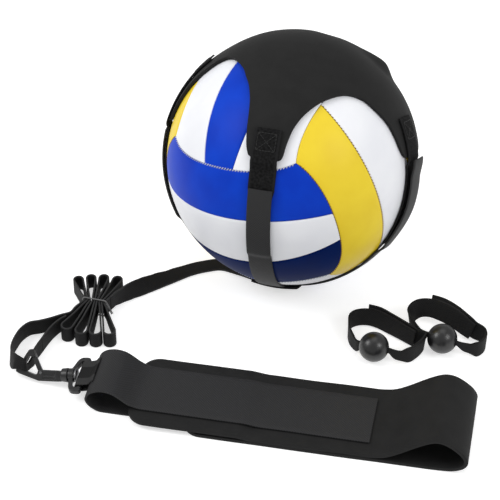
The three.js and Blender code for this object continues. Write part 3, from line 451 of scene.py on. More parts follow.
camera = {"place": Vector((-2.6, -1198.4, 1077.7)) * mm, "tilt": 50.0, "lens": 136.66}
cameraData = bpy.data.cameras.new("camera")
cameraData.sensor_width = 36
cameraData.lens = camera["lens"]
cameraData.clip_start, cameraData.clip_end = 0.05, 20
cameraObject = addObject("camera", cameraData)
cameraObject.location = camera["place"]
cameraObject.rotation_euler = (math.radians(camera["tilt"]), 0, 0)
bpy.context.scene.camera = cameraObject


lead = {
    "width": 15, "thickness": 1.5, "foldPitch": 2.1, "layers": 9,
    "bulbs": {"lower": 4.8, "upper": 3.9},
    "waist": (-166, -75.7), "across": (0.966, -0.257), "lift": 1.6,
    "lowerFolds": [(-189.5, -108.5), (-176.3, -114.8), (-163.4, -115.9), (-150.8, -115.7)],
    "upperFolds": [(-182.9, -42.7), (-171.3, -40.4), (-159.6, -40.4), (-147, -42.8)],
    "runIn": (0.56, 0.828), "runOut": (-0.62, -0.785), "gap": 0.3,
    # from the patch under the ball to the hank
    "toHank": [(-20, -36.3, 4.5), (-32, -27.5, 2.9), (-46, -17.5, 1.5), (-60, -11, 0.75), (-74, -13.2, 0.75),
               (-88, -18.3, 0.75), (-102, -27, 0.75), (-116, -36.8, 3.7), (-127.5, -45.6, 5.7),
               (-137.5, -53.4, 7.1), (-144.4, -59.6, 7.6)],
    "toHankRolls": [-22, -20, -12, -4, 0, 0, 0, 8, 24, 44, 66, 84, 90, 90, 90],
    "patchFace": 110.55,            # the lead's middle under the patch, from the ball's centre
}


def laidOut(points):                # the drawing's millimetres to the frame's metres
    return [Vector(p) * mm + layoutShift for p in points]


harnessMatrix = turned((-23.010, 5.225, -14.469))
waist = Vector((*lead["waist"], lead["width"] / 2 + lead["lift"]))
waistAcross = Vector((*lead["across"], 0))
runIn = Vector((*lead["runIn"], 0))
runOut = Vector((*lead["runOut"], 0))


def layerPlace(k):
    return waist + waistAcross * (k - (lead["layers"] - 1) / 2) * lead["foldPitch"]


# One folded end: out from the waist, round the bulb, and back to the next layer.
def foldPoints(first, second, tip, bulb):
    level = lead["width"] / 2
    start = (first + second) / 2
    axis = Vector((*tip, level)) - start
    axis.z = 0
    length = axis.length
    axis.normalize()
    across = Vector((axis.y, -axis.x, 0))
    if across.dot(first - second) < 0:
        across.negate()
    neck = length - bulb

    def place(out, offset):
        point = start + axis * out + across * offset
        point.z = waist.z + (level - waist.z) * smoothStep(out / (length * 0.6))
        return point

    half = lead["foldPitch"] / 2
    offsets = [(share, half + (bulb - half) * share**1.1) for share in (0.18, 0.42, 0.65, 0.85)]
    points = [place(neck * share, offset) for share, offset in offsets]
    for i in range(9):
        angle = math.pi * i / 8
        points.append(place(neck + bulb * math.sin(angle), bulb * math.cos(angle)))
    return points + [place(neck * share, -offset) for share, offset in reversed(offsets)]


def hankPoints():
    straight = lead["width"] / 2
    points = [layerPlace(lead["layers"] - 1) + runIn * straight * share for share in (1, 0.5, 0)]
    k = lead["layers"] - 1
    for fold in range(3, -1, -1):
        for end in ("lower", "upper"):
            tip, bulb = lead[end + "Folds"][fold], lead["bulbs"][end]
            points += foldPoints(layerPlace(k), layerPlace(k - 1), tip, bulb)
            k -= 1
            points.append(layerPlace(k))
    return points + [layerPlace(0) + runOut * straight * share for share in (0.5, 1)]


hankRoute = hankPoints()
hookPlace = Vector((-137.748, -85.740, 11.0)) * mm
hookU = Vector((-0.974639, 0.187686, -0.121869))
hookV = Vector((0.029875, 0.648844, 0.760334))
hookN = Vector((0.221778, 0.737411, -0.637996))
hookMatrix = Matrix((hookU, hookV, hookN)).transposed()


def inHook(u, v, n):                # a place given along the hook, in millimetres
    return hookPlace + (hookMatrix @ Vector((u, v, n))) * mm


def layLead(name, rows, body, replaced):
    piece = layWebbing(name, rows, lead["thickness"] * mm)
    paint(piece, leadWebbing, "lead_webbing", body, replaced)
    return piece


def declareCord(piece, rows):
    path = [place for place, side, width in rows]
    reaches(path)[-1]


def makeLeadToHank():
    start = ballCentre + harnessMatrix @ Vector((0, 0, -lead["patchFace"])) * mm
    entry = hankRoute[0] + runIn * lead["gap"]
    level = lead["width"] / 2
    points = [start] + laidOut(lead["toHank"] + [entry + runIn * level * share for share in (1, 0.5, 0)])
    rows = rolledRows(points, lead["toHankRolls"], lead["width"] * mm, 0.002, lift=lead["thickness"] / 2 * mm)
    declareCord(layLead("leadToHank", rows, "set", "lead_to_hank"), rows)


def makeHank(pieces):
    rows = rolledRows(laidOut(hankRoute), 90, lead["width"] * mm, 0.0012)
    declareCord(layLead("leadHank", rows, "set", "lead_hank"), rows)


endLoop = {
    "leftPoints": [(-185.5, -88, 7.5), (-193.5, -91.5, 7.5), (-203, -96, 7.5), (-211, -98.8, 7.5),
                   (-219, -101, 7.5), (-225, -107.5, 7.5), (-229, -117, 7.5), (-231.5, -128, 7.6),
                   (-231.2, -138, 8.6)],
    "rightPoints": [(-212, -133, 7.5), (-207.6, -122, 7.5), (-203.4, -112, 7.5), (-199, -103.6, 7.5),
                    (-193.6, -96.6, 7.5), (-188.8, -92.6, 7.5)],
    "eyePoints": [(59.2, 10, -2.4), (56, 9.4, -5.6), (52.2, 8.2, -5.9), (49.8, 6.3, -5.1), (48.6, 5.2, -2.6),
                  (48.3, 5, 0.6), (47.7, 6.3, 4), (46, 10, 8)],
    "rolls": [90] * 9 + [92, 98, 112, 124, 128, 118, 106, 99, 96, 93] + [90] * 6,
    "shares": [1] * 11 + [0.92, 0.82, 0.7, 0.55, 0.44, 0.42, 0.48, 0.7, 0.95] + [1] * 5,
    "eye": (48.3, 5.1, 0), "cuts": (9, 20), "bend": (0.3, 0.85),
}


# The loop is cut in three: the two strands and the eye round the hook.
def makeEndLoop():
    start = hankRoute[-1] + runOut * lead["gap"]
    points = laidOut([start, start + runOut * lead["width"] / 4] + endLoop["leftPoints"])
    points += [inHook(*p) for p in endLoop["eyePoints"]]
    points += laidOut(endLoop["rightPoints"])
    rows = rolledRows(points, endLoop["rolls"], lead["width"] * mm, 0.0015, endLoop["shares"],
                      lead["thickness"] / 2 * mm)
    marks = smoothLine(points, 0.0015)[1]
    first, last = (next(i for i, mark in enumerate(marks) if mark >= cut) for cut in endLoop["cuts"])
    left = layLead("loopStrandLeft", rows[:first + 1], None, "lead_hook_loop")
    right = layLead("loopStrandRight", rows[last:], None, "lead_hook_loop")
    eye = layLead("loopEye", rows[first:last + 1], None, "lead_hook_loop")
    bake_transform(left)
    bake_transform(right)
    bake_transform(eye)
    return [left, right, eye]


def makeHankTie():
    tie = {"radius": 0.6, "corner": 2.2, "gap": 0.3}
    halfLong = lead["layers"] * lead["foldPitch"] / 2 + tie["gap"] + tie["radius"]
    top = lead["lift"] + lead["width"] + tie["gap"] * 2 + tie["radius"]
    flat = Vector((*lead["waist"], 0))
    ring = []
    for along, high, start in ((halfLong, tie["radius"], -90), (halfLong, top, 0), (-halfLong, top, 90),
                               (-halfLong, tie["radius"], 180)):
        for i in range(7):
            angle = math.radians(start + 15 * i)
            inAlong = along - math.copysign(tie["corner"], along)
            inHigh = high + (-tie["corner"] if high == top else tie["corner"])
            point = flat + waistAcross * (inAlong + tie["corner"] * math.cos(angle))
            point.z = inHigh + tie["corner"] * math.sin(angle)
            ring.append(point)
    return tubesAlong("hankTie", [laidOut(ring)], tie["radius"] * mm, closed=True)


# Round tubes along lines, all in one piece.
def tubesAlong(name, lines, radius, closed=False, sides=10):
    curve = bpy.data.curves.new(name, "CURVE")
    curve.dimensions = "3D"
    for line in lines:
        spline = curve.splines.new("POLY")
        spline.points.add(len(line) - 1)
        for point, place in zip(spline.points, line):
            point.co = (*place, 1)
        spline.use_cyclic_u = closed
    curve.bevel_depth = radius
    curve.bevel_resolution = (sides - 4) // 2
    curve.use_fill_caps = True
    selectOnly(addObject(name, curve))
    bpy.ops.object.convert(target="MESH")
    piece = takeNew(name)
    smoothByAngle(piece, 60)
    return piece


# The two ends of the wire, twisted together and bent down beside the hank.
def makeTieTwist():
    twist = {"length": 10, "turns": 3.5, "radius": 0.55, "wire": 0.45, "aside": 0.9, "high": 15.5,
             "splay": 0.8, "way": Vector((0.5, -0.6, -0.66)).normalized()}
    aside = lead["layers"] * lead["foldPitch"] / 2 + twist["aside"]
    start = Vector((*lead["waist"], 0)) + waistAcross * aside
    start.z = twist["high"]
    sideways = twist["way"].cross(Vector((0, 0, 1))).normalized()
    other = twist["way"].cross(sideways)
    lines = []
    for phase in (0, math.pi):
        line = []
        for i in range(37):
            share = i / 36
            angle = phase + 2 * math.pi * twist["turns"] * share
            out = twist["radius"] * (1 + twist["splay"] * max(0, share - 0.85) / 0.15)
            line.append(start + twist["way"] * twist["length"] * share
                        + (sideways * math.cos(angle) + other * math.sin(angle)) * out)
        lines.append(laidOut(line))
    return tubesAlong("hankTieTwist", lines, twist["wire"] * mm, sides=8)


hankTie = makeHankTie()
paint(hankTie, tieWire, "tie_wire", "set", "hank_tie")
tieTwist = makeTieTwist()
paint(tieTwist, tieWire, "tie_wire", "set")
makeLeadToHank()
makeHank([hankTie, tieTwist, *makeEndLoop()])
print("lead laid")


ball = {
    "radius": 105, "thickness": 3.2, "seamGap": 0.2, "roll": 2.6, "drop": 0.8,
    "middleShare": 0.228, "sideShare": 0.722, "turn": (0.792, -14.008, -33.938),
    "power": 2.3, "along": 72, "across": 10, "rollSteps": (0, 0.06, 0.16, 0.32, 0.58, 1), "rollPower": 2.4,
    "stitchSunk": 104.1, "stitchEnd": 1.5,
    "pale": {"radius": 0.42, "pitch": 2.5, "long": 1.5, "slant": 0.75, "high": 104.95},
    "brown": {"radius": 0.3, "pitch": 2.8, "long": 1.7, "slant": 0.3, "high": 104.85},
}


ballMatrix = turned(ball["turn"])


def seamHeight(s):                  # the long side seam, in half cube edges, rises towards the corners
    return ball["sideShare"] + (1 - ball["sideShare"]) * s**ball["power"]


def stripEnd(t):
    s = 1.0
    for _ in range(40):
        s = 1 / seamHeight(min(t / s, 1.0))
    return s


def spread(s, t, size):
    return size / ball["radius"] * (1 + s * s + t * t) / math.sqrt(1 + s * s)


def panelPoint(a, b, strip, inset=ball["seamGap"] / 2):
    middle = strip == 1
    low = -ball["middleShare"] if middle else ball["middleShare"]
    end = ball["middleShare"] if middle else 1.0

    def top(s):
        return ball["middleShare"] if middle else seamHeight(abs(s))

    tEnd = low + (end - low) * b
    sEnd = stripEnd(abs(tEnd))
    s = a * (sEnd - spread(tEnd, sEnd, inset))
    lowEdge = low + spread(s, low, inset)
    topEdge = top(s if middle else a) - spread(s, top(a), inset)
    t = lowEdge + (topEdge - lowEdge) * b
    return s, (-t if strip == 0 else t)


def edgedShares(low, edge, count):  # from low to 1, close together where the leather rolls down to a seam
    shares = [low + r * edge for r in ball["rollSteps"]]
    shares += [low + edge + (1 - low - 2 * edge) * k / count for k in range(1, count)]
    return shares + [1 - r * edge for r in reversed(ball["rollSteps"])]


def makePanel(face, strip, material, slot):
    normal, along, across = ballFaces[face][:3]
    rollShare = ball["roll"] / (2 * ball["middleShare"] * ball["radius"])
    endShare = ball["roll"] / ball["radius"]
    acrossShares = edgedShares(0, rollShare, ball["across"])
    alongShares = edgedShares(-1, endShare, ball["along"])

    def edge(share, total):         # how far the leather rolls down towards a seam
        x = min(share / total, 1.0)
        return 1 - math.sqrt(max(0.0, 1 - (1 - x) ** ball["rollPower"]))

    def placeOf(i, k):
        a, b = alongShares[i], acrossShares[k]
        s, t = panelPoint(a, b, strip)
        sink = max(edge(min(b, 1 - b), rollShare), edge(1 - abs(a), endShare))
        direction = (normal + along * s + across * t).normalized()
        return ballCentre + ballMatrix @ (direction * (ball["radius"] - ball["drop"] * sink) * mm)

    name = f"ballPanel{face.title()}{strip + 1}"
    piece = newGrid(name, len(acrossShares) - 1, len(alongShares) - 1, placeOf)
    turnOutward(piece, ballCentre)
    thicken(piece, ball["thickness"] * mm, -1)
    smoothByAngle(piece, 50)
    paint(piece, material, slot, "set", f"panel_{face}_{strip + 1}")


axisX, axisY, axisZ = Vector((1, 0, 0)), Vector((0, 1, 0)), Vector((0, 0, 1))
# The lower strip of the front and back faces takes the darker blue, a painted shade, on the same blue slot.
blue, shadedBlue = (blueLeather, "ball_blue"), (shadedBlueLeather, "ball_blue")
yellow, white = (yellowLeather, "ball_yellow"), (whiteLeather, "ball_white")
ballFaces = {
    "front": (-axisY, axisX, axisZ, (shadedBlue, white, blue)),
    "back": (axisY, axisX, axisZ, (shadedBlue, white, blue)),
    "right": (axisX, axisZ, axisY, (yellow, white, yellow)),
    "left": (-axisX, axisZ, axisY, (yellow, white, yellow)),
    "top": (axisZ, axisY, axisX, (white, blue, white)),
    "bottom": (-axisZ, axisY, axisX, (white, blue, white)),
}
for face in ballFaces:
    for strip, (material, slot) in enumerate(ballFaces[face][3]):
        makePanel(face, strip, material, slot)


# A seam's thread shows as short slanting stitches over the groove between two panels.
def seamStitches(face, strip, b, stitch):
    normal, along, across = ballFaces[face][:3]
    places = []
    for i in range(241):
        s, t = panelPoint(-1 + i / 120, b, strip, 0.0)
        places.append((normal + along * s + across * t).normalized())
    reach = [way * ball["radius"] for way in reaches(places)]

    def at(distance, aside, radius):
        way, k = placeAt(places, reach, distance)
        way.normalize()
        sideways = way.cross(places[k + 1] - places[k]).normalized()
        direction = (way + sideways * aside / ball["radius"]).normalized()
        return ballCentre + ballMatrix @ (direction * radius * mm)

    lines = []
    start, sunk, high = ball["stitchEnd"], ball["stitchSunk"], stitch["high"]
    profile = ((0, -1, sunk), (0.18, -0.75, high), (0.82, 0.75, high), (1, 1, sunk))
    while start + stitch["long"] < reach[-1] - ball["stitchEnd"]:
        lines.append([at(start + stitch["long"] * x, aside * stitch["slant"], radius)
                      for x, aside, radius in profile])
        start += stitch["pitch"]
    return lines


def makeSeamThread(name, seams, stitch, material, slot):
    lines = [line for face, strip, b in seams for line in seamStitches(face, strip, b, stitch)]
    paint(tubesAlong(name, lines, stitch["radius"] * mm, sides=6), material, slot, "set")


outerSeams = [(face, strip, 1) for face in ("front", "back") for strip in (0, 2)]
yellowSeams = [(face, strip, b) for face in ("right", "left") for strip in (0, 2) for b in (0, 1)]
makeSeamThread("seamThreadPale", outerSeams, ball["pale"], paleThread, "ball_white")
makeSeamThread("seamThreadBrown", yellowSeams, ball["brown"], brownThread, "ball_yellow")
print("ball made")


harness = {
    # each lobe's azimuth, and where its loop and hook strap start, in degrees from the pole
    "lobes": {"front": (0, 64, 90), "right": (80, 60, 78.5), "back": (180, 60, 90), "left": (-83, 43, 81.5)},
    "gap": 0.65, "capThickness": 2.5, "capEnd": 76.5, "loopThickness": 1.5, "loopWidth": 22, "loopTo": 120,
    "hookThickness": 1.6, "hookWidth": 20, "endGap": 15.5,
    "patchHalf": 20, "patchThickness": 1.6, "layerGap": 0.65, "rowStep": 0.8, "narrowBy": 3, "narrowOver": 5,
    "rampGap": 1.6, "rampOver": 4, "capRings": 40, "capStretch": 1.03, "capAreaStretch": 1.06,
    "capRound": 0.9, "patchRound": 0.5, "stitchStart": 2.2,
    "crown": (1.7, 14, 24),         # how high the cap stands at its pole, and the degrees where that ends
    "ripple": (0.5, 2.2, 3.1),      # height, pace and seed of the cap's unevenness
    "rightLifts": ((2.4, 98, 24), (2.8, 78.5, 9)),  # how the right hook strap stands off: height, from, over
    # the cap's edge, azimuth and degrees from the pole: a lobe at each strap, and an arch between each two
    "capEdge": (
        (-7.4, 76.2), (-5.6, 77.1), (5.6, 77.1), (7.4, 76.2), (9, 69.5), (11.6, 62), (16.8, 55.3),
        (26.1, 49.3), (41.1, 46), (52, 48.7), (57.8, 53.4), (64.4, 60.8), (67.6, 67.4), (70.3, 73.6),
        (72.5, 76.5), (75, 77.4), (89, 77.4), (93, 75.5), (96, 68), (101, 59), (108, 51.5), (119, 47),
        (133, 46), (147, 47.5), (158, 52), (165, 59), (169.5, 68), (172, 75.5), (174.5, 77.1),
        (185.5, 77.1), (188, 75.5), (190.5, 67), (195, 56), (203, 47), (214, 42.3), (228, 41), (242, 42.5),
        (254, 48), (262, 57), (266.5, 67), (268.8, 75), (271, 77.1), (282.5, 77.1), (284.5, 76), (286, 71),
        (287.7, 63), (290, 54), (293, 46.5), (296.5, 40.5), (301.5, 37), (309, 35.6), (316.5, 35.9),
        (323.5, 37.1), (330.3, 39.3), (336, 42.6), (340.7, 45.9), (343.8, 49.5), (346, 53.2), (347.7, 58),
        (348.9, 63.3), (349.9, 68.2), (351.3, 73.5), (352.6, 76.2)),
    # where the cap stands off the ball: azimuth, degrees from the pole, lift and reach
    "tents": ((113, 39, 5.0, 5.5), (117, 32.5, 2.2, 5), (122, 26, 1.2, 7), (146, 14.5, -0.9, 4)),
}


def harnessWay(colat, azimuth):
    c, a = math.radians(colat), math.radians(azimuth)
    return Vector((math.sin(c) * math.sin(a), -math.sin(c) * math.cos(a), math.cos(c)))


def onBall(colat, azimuth, radius):
    return ballCentre + harnessMatrix @ harnessWay(colat, azimuth) * radius * mm


def sidewaysAt(azimuth):
    return harnessMatrix @ Vector((math.cos(math.radians(azimuth)), math.sin(math.radians(azimuth)), 0))


coverRadius = ball["radius"] + harness["gap"]


def capLift(azimuth, colat):
    here = harnessWay(colat, azimuth)
    height, pace, seed = harness["ripple"]
    lift = fading(colat, *harness["crown"]) + height * wave(here * pace, 1, seed)
    for tentAzimuth, tentColat, height, reach in harness["tents"]:
        apart = math.degrees(here.angle(harnessWay(tentColat, tentAzimuth)))
        lift += height * math.exp(-(apart / reach) ** 2)
    return max(lift, 0)


def makeCap():
    edge = smoothLine([(azimuth, colat, 0) for azimuth, colat in harness["capEdge"]], 0.9)[0]
    edge[-1] = edge[0] + Vector((360, 0, 0))

    def placeOf(i, k):
        azimuth, colat = edge[k].x, edge[k].y * i / harness["capRings"]
        return onBall(colat, azimuth, coverRadius + harness["capThickness"] / 2 + capLift(azimuth, colat))

    piece = newGrid("harnessCap", len(edge) - 1, harness["capRings"], placeOf)
    editWhole(piece, merge=0.00001)
    turnOutward(piece, ballCentre)
    thicken(piece, harness["capThickness"] * mm)
    roundEdges(piece, harness["capRound"] * mm)
    smoothByAngle(piece, 45)
    paint(piece, neoprene, "neoprene", "set", "harness_cap")


def ballStrapRows(azimuth, start, end, width, radiusAt, narrowFrom=None):
    rows = []
    count = math.ceil((end - start) / harness["rowStep"])
    side = sidewaysAt(azimuth)
    for i in range(count + 1):
        colat = start + (end - start) * i / count
        wide = width
        if narrowFrom is not None:
            wide -= harness["narrowBy"] * smoothStep((colat - narrowFrom) / harness["narrowOver"])
        rows.append((onBall(colat, azimuth, radiusAt(colat)), side, wide * mm))
    return rows


# A sewn box with a cross in it holds each loop strap on its lobe.
def makeBoxStitch(name, azimuth, start, radius):
    box = {"half": 7.2, "long": 13.5, "pitch": 2.5, "stitch": 1.8, "rise": 0.2, "sunk": -0.25, "high": 0.12,
           "thread": 0.3}
    top, low = math.radians(start) * ball["radius"], math.radians(start) * ball["radius"] + box["long"]
    corners = [(-box["half"], top), (box["half"], top), (box["half"], low), (-box["half"], low)]
    sides = list(zip(corners, corners[1:] + corners[:1])) + list(zip(corners[:2], corners[2:]))
    sideways = sidewaysAt(azimuth)

    def at(u, v, high):
        way = onBall(math.degrees(v / ball["radius"]), azimuth, 1) - ballCentre
        return ballCentre + (way + sideways * u / ball["radius"] * mm).normalized() * high * mm

    lines = []
    for (u0, v0), (u1, v1) in sides:
        total = math.hypot(u1 - u0, v1 - v0)
        count = round(total / box["pitch"])
        for k in range(count):
            first = (k + 0.14) / count
            last = first + box["stitch"] / total
            rise = box["rise"] / total
            profile = ((first, "sunk"), (first + rise, "high"), (last - rise, "high"), (last, "sunk"))
            lines.append([at(u0 + (u1 - u0) * x, v0 + (v1 - v0) * x, radius + box[high])
                          for x, high in profile])
    paint(tubesAlong(name, lines, box["thread"] * mm, sides=6), blackThread, "loop_webbing", "set")


def rampAfter(colat, end):          # a strap comes down on the ball where the layer under it has ended
    return smoothStep((colat - end - harness["rampGap"]) / harness["rampOver"])


def makeStraps():
    loopThick, hookThick, gap = harness["loopThickness"], harness["hookThickness"], harness["layerGap"]
    endColat = 180 - math.degrees(harness["endGap"] / ball["radius"])
    high = coverRadius + harness["capThickness"] + gap + loopThick / 2
    low = coverRadius + loopThick / 2
    over = coverRadius + loopThick + gap + hookThick / 2
    under = coverRadius + hookThick / 2

    def loopRadius(colat):
        return high + (low - high) * rampAfter(colat, harness["capEnd"])

    def hookRadius(colat):
        return over + (under - over) * rampAfter(colat, harness["loopTo"])

    def rightRadius(colat):
        return hookRadius(colat) + sum(fading(colat, *part) for part in harness["rightLifts"])

    for name, (azimuth, loopFrom, hookFrom) in harness["lobes"].items():
        rows = ballStrapRows(azimuth, loopFrom, harness["loopTo"], harness["loopWidth"], loopRadius, hookFrom)
        piece = layWebbing(f"loopStrap{name.title()}", rows, loopThick * mm, 12, around=ballCentre)
        stitchFrom = loopFrom + harness["stitchStart"]
        makeBoxStitch(f"boxStitch{name.title()}", azimuth, stitchFrom, high + loopThick / 2)
        paint(piece, loopTape, "loop_webbing", "set", f"loop_strap_{name}")
        radiusAt = rightRadius if name == "right" else hookRadius
        rows = ballStrapRows(azimuth, hookFrom, endColat, harness["hookWidth"], radiusAt)
        piece = layWebbing(f"hookStrap{name.title()}", rows, hookThick * mm, 8, around=ballCentre)
        paint(piece, hookTape, "hook_tape", "set", f"hook_strap_{name}")


def makePatch():
    steps = 16
    radius = coverRadius + harness["hookThickness"] + harness["layerGap"] + harness["patchThickness"] / 2
    reach = harness["patchHalf"] / ball["radius"]

    def placeOf(i, k):
        a, b = (reach * (2 * number / steps - 1) for number in (k, i))
        return ballCentre + harnessMatrix @ Vector((math.tan(a), math.tan(b), -1)).normalized() * radius * mm

    piece = newGrid("junctionPatch", steps, steps, placeOf)
    thicken(piece, harness["patchThickness"] * mm, even=False)
    roundEdges(piece, harness["patchRound"] * mm, 2)
    smoothByAngle(piece, 40)
    paint(piece, loopTape, "loop_webbing", "set", "junction_patch")


makeCap()
makeStraps()
makePatch()
print("harness made")


belt = {
    "turn": -10.9, "place": (0, -235.3), "bandWidth": 75, "bandThickness": 3, "corner": 15,
    "tapeWidth": 50, "tapeThickness": 1.5, "lowerEnd": 92, "upperEnd": 137, "tapeSewn": 52, "tapeFree": 57,
    "bulgeStart": 60, "bulgeEnd": 135.5, "bulgeHeight": 32.5, "curlEnd": 173, "curlHeight": 24,
    "curlLength": 42, "gap": 0.3, "tabWidth": 28, "tabThickness": 1.2, "hookPlace": 181, "hookDepth": 40,
    "hookHeight": 11, "barRadius": 2.4, "tabLift": 0.175,
    "ripple": (45, 4.3),            # length and seed of the edges' unevenness
    # shares of the bulge's reach and rise, and of the curl's length and height
    "bulge": ((0.6, 0), (0.72, 0.01), (0.86, 0.05), (0.96, 0.174), (1, 0.36), (0.965, 0.582), (0.87, 0.813),
              (0.755, 0.973), (0.66, 0.987), (0.56, 0.876), (0.43, 0.662), (0.28, 0.396), (0.13, 0.187)),
    "curl": ((0.24, 0.02), (0.06, 0.24), (0, 0.53), (0.09, 0.83), (0.29, 1), (0.51, 0.96), (0.65, 0.8),
             (0.82, 0.55)),
    # the tab's laps on the curl, each place in the curl's shares and the way out from it, and its turn
    # round the bar
    "upperLap": ((0.11, 0.85, -0.75, 0.66), (0.07, 0.79, -0.86, 0.5), (0.025, 0.68, -0.95, 0.3)),
    "lowerLap": ((0.012, 0.38, -0.98, -0.2), (0.05, 0.25, -0.9, -0.44), (0.115, 0.14, -0.72, -0.69)),
    "barTurn": ((0.5, 1), (-0.6, 0.8), (-1, 0), (-0.6, -0.8), (0.5, -1)),
}
beltMatrix = Matrix.Rotation(math.radians(belt["turn"]), 3, "Z")
beltOrigin = Vector((*belt["place"], 0)) * mm + layoutShift


def onBelt(a, w, z):
    return beltOrigin + beltMatrix @ Vector((a, w, z)) * mm


# A band along a profile of length and height, with round corners where they are asked for.
def makeBand(name, profile, front, width, thickness, corner, edgeWave, across=12, spacing=2.0):
    line = smoothLine([(a, 0, z) for a, z in profile], spacing)[0]
    for point in line:
        point.z = max(point.z, thickness / 2)
    steps = reaches(line)
    total = steps[-1]
    rows = []

    places = set(np.round(np.linspace(corner, total - corner, int(total / spacing)), 4))
    if corner:
        for k in range(13):
            inward = corner * (1 - math.cos(math.pi / 2 * k / 12))
            places |= {round(inward, 4), round(total - inward, 4)}

    def half(gap):
        if gap >= corner:
            return width / 2
        return width / 2 - corner + math.sqrt(max(0.0, corner**2 - (corner - gap) ** 2))

    for distance in sorted(places):
        middle = placeAt(line, steps, min(max(distance, 0.0), total))[0]
        wide = 2 * min(half(distance), half(total - distance))
        sideways = edgeWave * wave((distance / belt["ripple"][0], 0, 0), 1, front + belt["ripple"][1])
        rows.append((onBelt(middle.x, front + width / 2 + sideways, middle.z), beltMatrix @ axisY, wide * mm))
    piece = layWebbing(name, rows, thickness * mm, across=across, edgeRound=0.3)
    declareFlat(piece, rows, width * mm)
    return piece


def beltProfiles():
    b = belt
    gap, low, high, sewn, curlEnd = b["gap"], b["lowerEnd"], b["upperEnd"], b["tapeSewn"], b["curlEnd"]
    start, ramp, length = b["bulgeStart"], b["bandThickness"] * 3, b["curlLength"]
    right = ramp * 1.4 - sewn
    bandLow = b["bandThickness"] / 2
    bandHigh = b["bandThickness"] * 1.5 + gap
    raised = bandHigh + b["tapeThickness"] + gap
    reach = b["bulgeEnd"] - start - bandLow
    rise = b["bulgeHeight"] - b["bandThickness"]
    band = [(a, bandLow) for a in (-low, -low / 2, 0, start, start + reach / 2)]
    band += [(start + x * reach, bandLow + z * rise) for x, z in b["bulge"]]
    band += [(a, bandHigh) for a in (start - 3, start - 6, 0, right + ramp, right + ramp / 2)]
    band += [(a, raised) for a in (right - ramp, right - ramp * 1.5, -(sewn + high) / 2, -high)]

    tapeLow = b["tapeThickness"] / 2
    onLower = b["bandThickness"] + gap + tapeLow
    onUpper = bandHigh + bandLow + gap + tapeLow
    onRaised = raised + bandLow + gap + tapeLow
    curlLeft = -curlEnd + tapeLow
    curlRise = b["curlHeight"] - b["tapeThickness"]
    tape = [(a, onLower) for a in (-sewn, -(sewn + low) / 2, -low + 3, -low - 1.5)]
    tape += [(-low - ramp * 1.4, tapeLow), (-low - ramp * 2, tapeLow)]
    tape += [(-(low + curlEnd) / 2, tapeLow), (length / 2 - curlEnd, tapeLow)]
    tape += [(curlLeft + x * length, tapeLow + z * curlRise) for x, z in b["curl"]]
    tape.append((-high + 6, onRaised + tapeLow))
    tape += [(a, onRaised) for a in (-high + 12, -high + 15, right - ramp, right - ramp / 2)]
    tape += [(a, onUpper) for a in (right + ramp, right + ramp * 1.5, 0, b["tapeFree"] / 2, b["tapeFree"])]

    seat = tapeLow + gap + b["tabThickness"] / 2 + b["tabLift"]
    turn = b["barRadius"] + gap + b["tabThickness"] / 2

    def lap(places):
        return [(curlLeft + x * length + outX * seat, tapeLow + z * curlRise + outZ * seat)
                for x, z, outX, outZ in places]

    bar = [(-b["hookPlace"] + turn * x, b["hookHeight"] + turn * z) for x, z in b["barTurn"]]
    return band, tape, lap(b["upperLap"]) + bar + lap(b["lowerLap"])


def makeBelt():
    b = belt
    band, tape, tab = beltProfiles()
    tapeFront = (b["bandWidth"] - b["tapeWidth"]) / 2
    tabFront = b["hookDepth"] - b["tabWidth"] / 2
    piece = makeBand("beltBand", band, 0, b["bandWidth"], b["bandThickness"], b["corner"], 0.8)
    paint(piece, neoprene, "neoprene", "set", "belt_band")
    piece = makeBand("beltTape", tape, tapeFront, b["tapeWidth"], b["tapeThickness"], 0, 0.6)
    paint(piece, hookTape, "hook_tape", "set", "belt_tape")
    piece = makeBand("ringTab", tab, tabFront, b["tabWidth"], b["tabThickness"], 0, 0, across=8, spacing=0.8)
    paint(piece, leadWebbing, "hook_tape", "set", "ring_tab")


makeBelt()
print("belt made")


palm = {
    "ballRadius": 12.5, "boreRadius": 3.6, "bandWidth": 16, "bandThickness": 1.6, "patchThickness": 0.9,
    "gap": 0.3, "margin": 2, "outerLift": 2.2, "boreRound": 0.6,
    "shares": [1] * 9 + [0.85, 0.3, 0.26, 0.3, 0.62] + [1] * 9,     # of the band's width, less in the bore
    "left": {
        "place": (67, -129), "bore": -19.5,
        "inner": [(34.5, 14), (25, 21.7), (14, 30.7), (5, 37.5), (-3, 40.7), (-12, 40.5), (-17.5, 36),
                  (-19.5, 27), (-18.5, 17), (-15, 9)],
        "front": [(20.5, -5.5), (29, -4.6), (36.5, 2), (41.4, 9), (42.6, 14)],
        "far": (84, 82, 80, 80, 80, 82, 86, 90, 90, 90), "raised": (0.5, 1, 1, 1, 1, 0.5),
    },
    "right": {
        "place": (124, -119), "bore": -25.5,
        "inner": [(26, 12), (19, 18), (10, 26), (1, 32.2), (-8, 36.6), (-17, 37.9), (-23, 34), (-24.8, 27),
                  (-22.5, 18.5), (-17.6, 10.8)],
        "front": [(21, -6.6), (28.5, -8), (34, -3.4), (36.5, 3.5), (34.5, 10)],
        "far": (76, 68, 62, 60, 60, 62, 70, 82, 90, 90), "raised": (1, 3, 5, 6, 6, 4),
    },
}


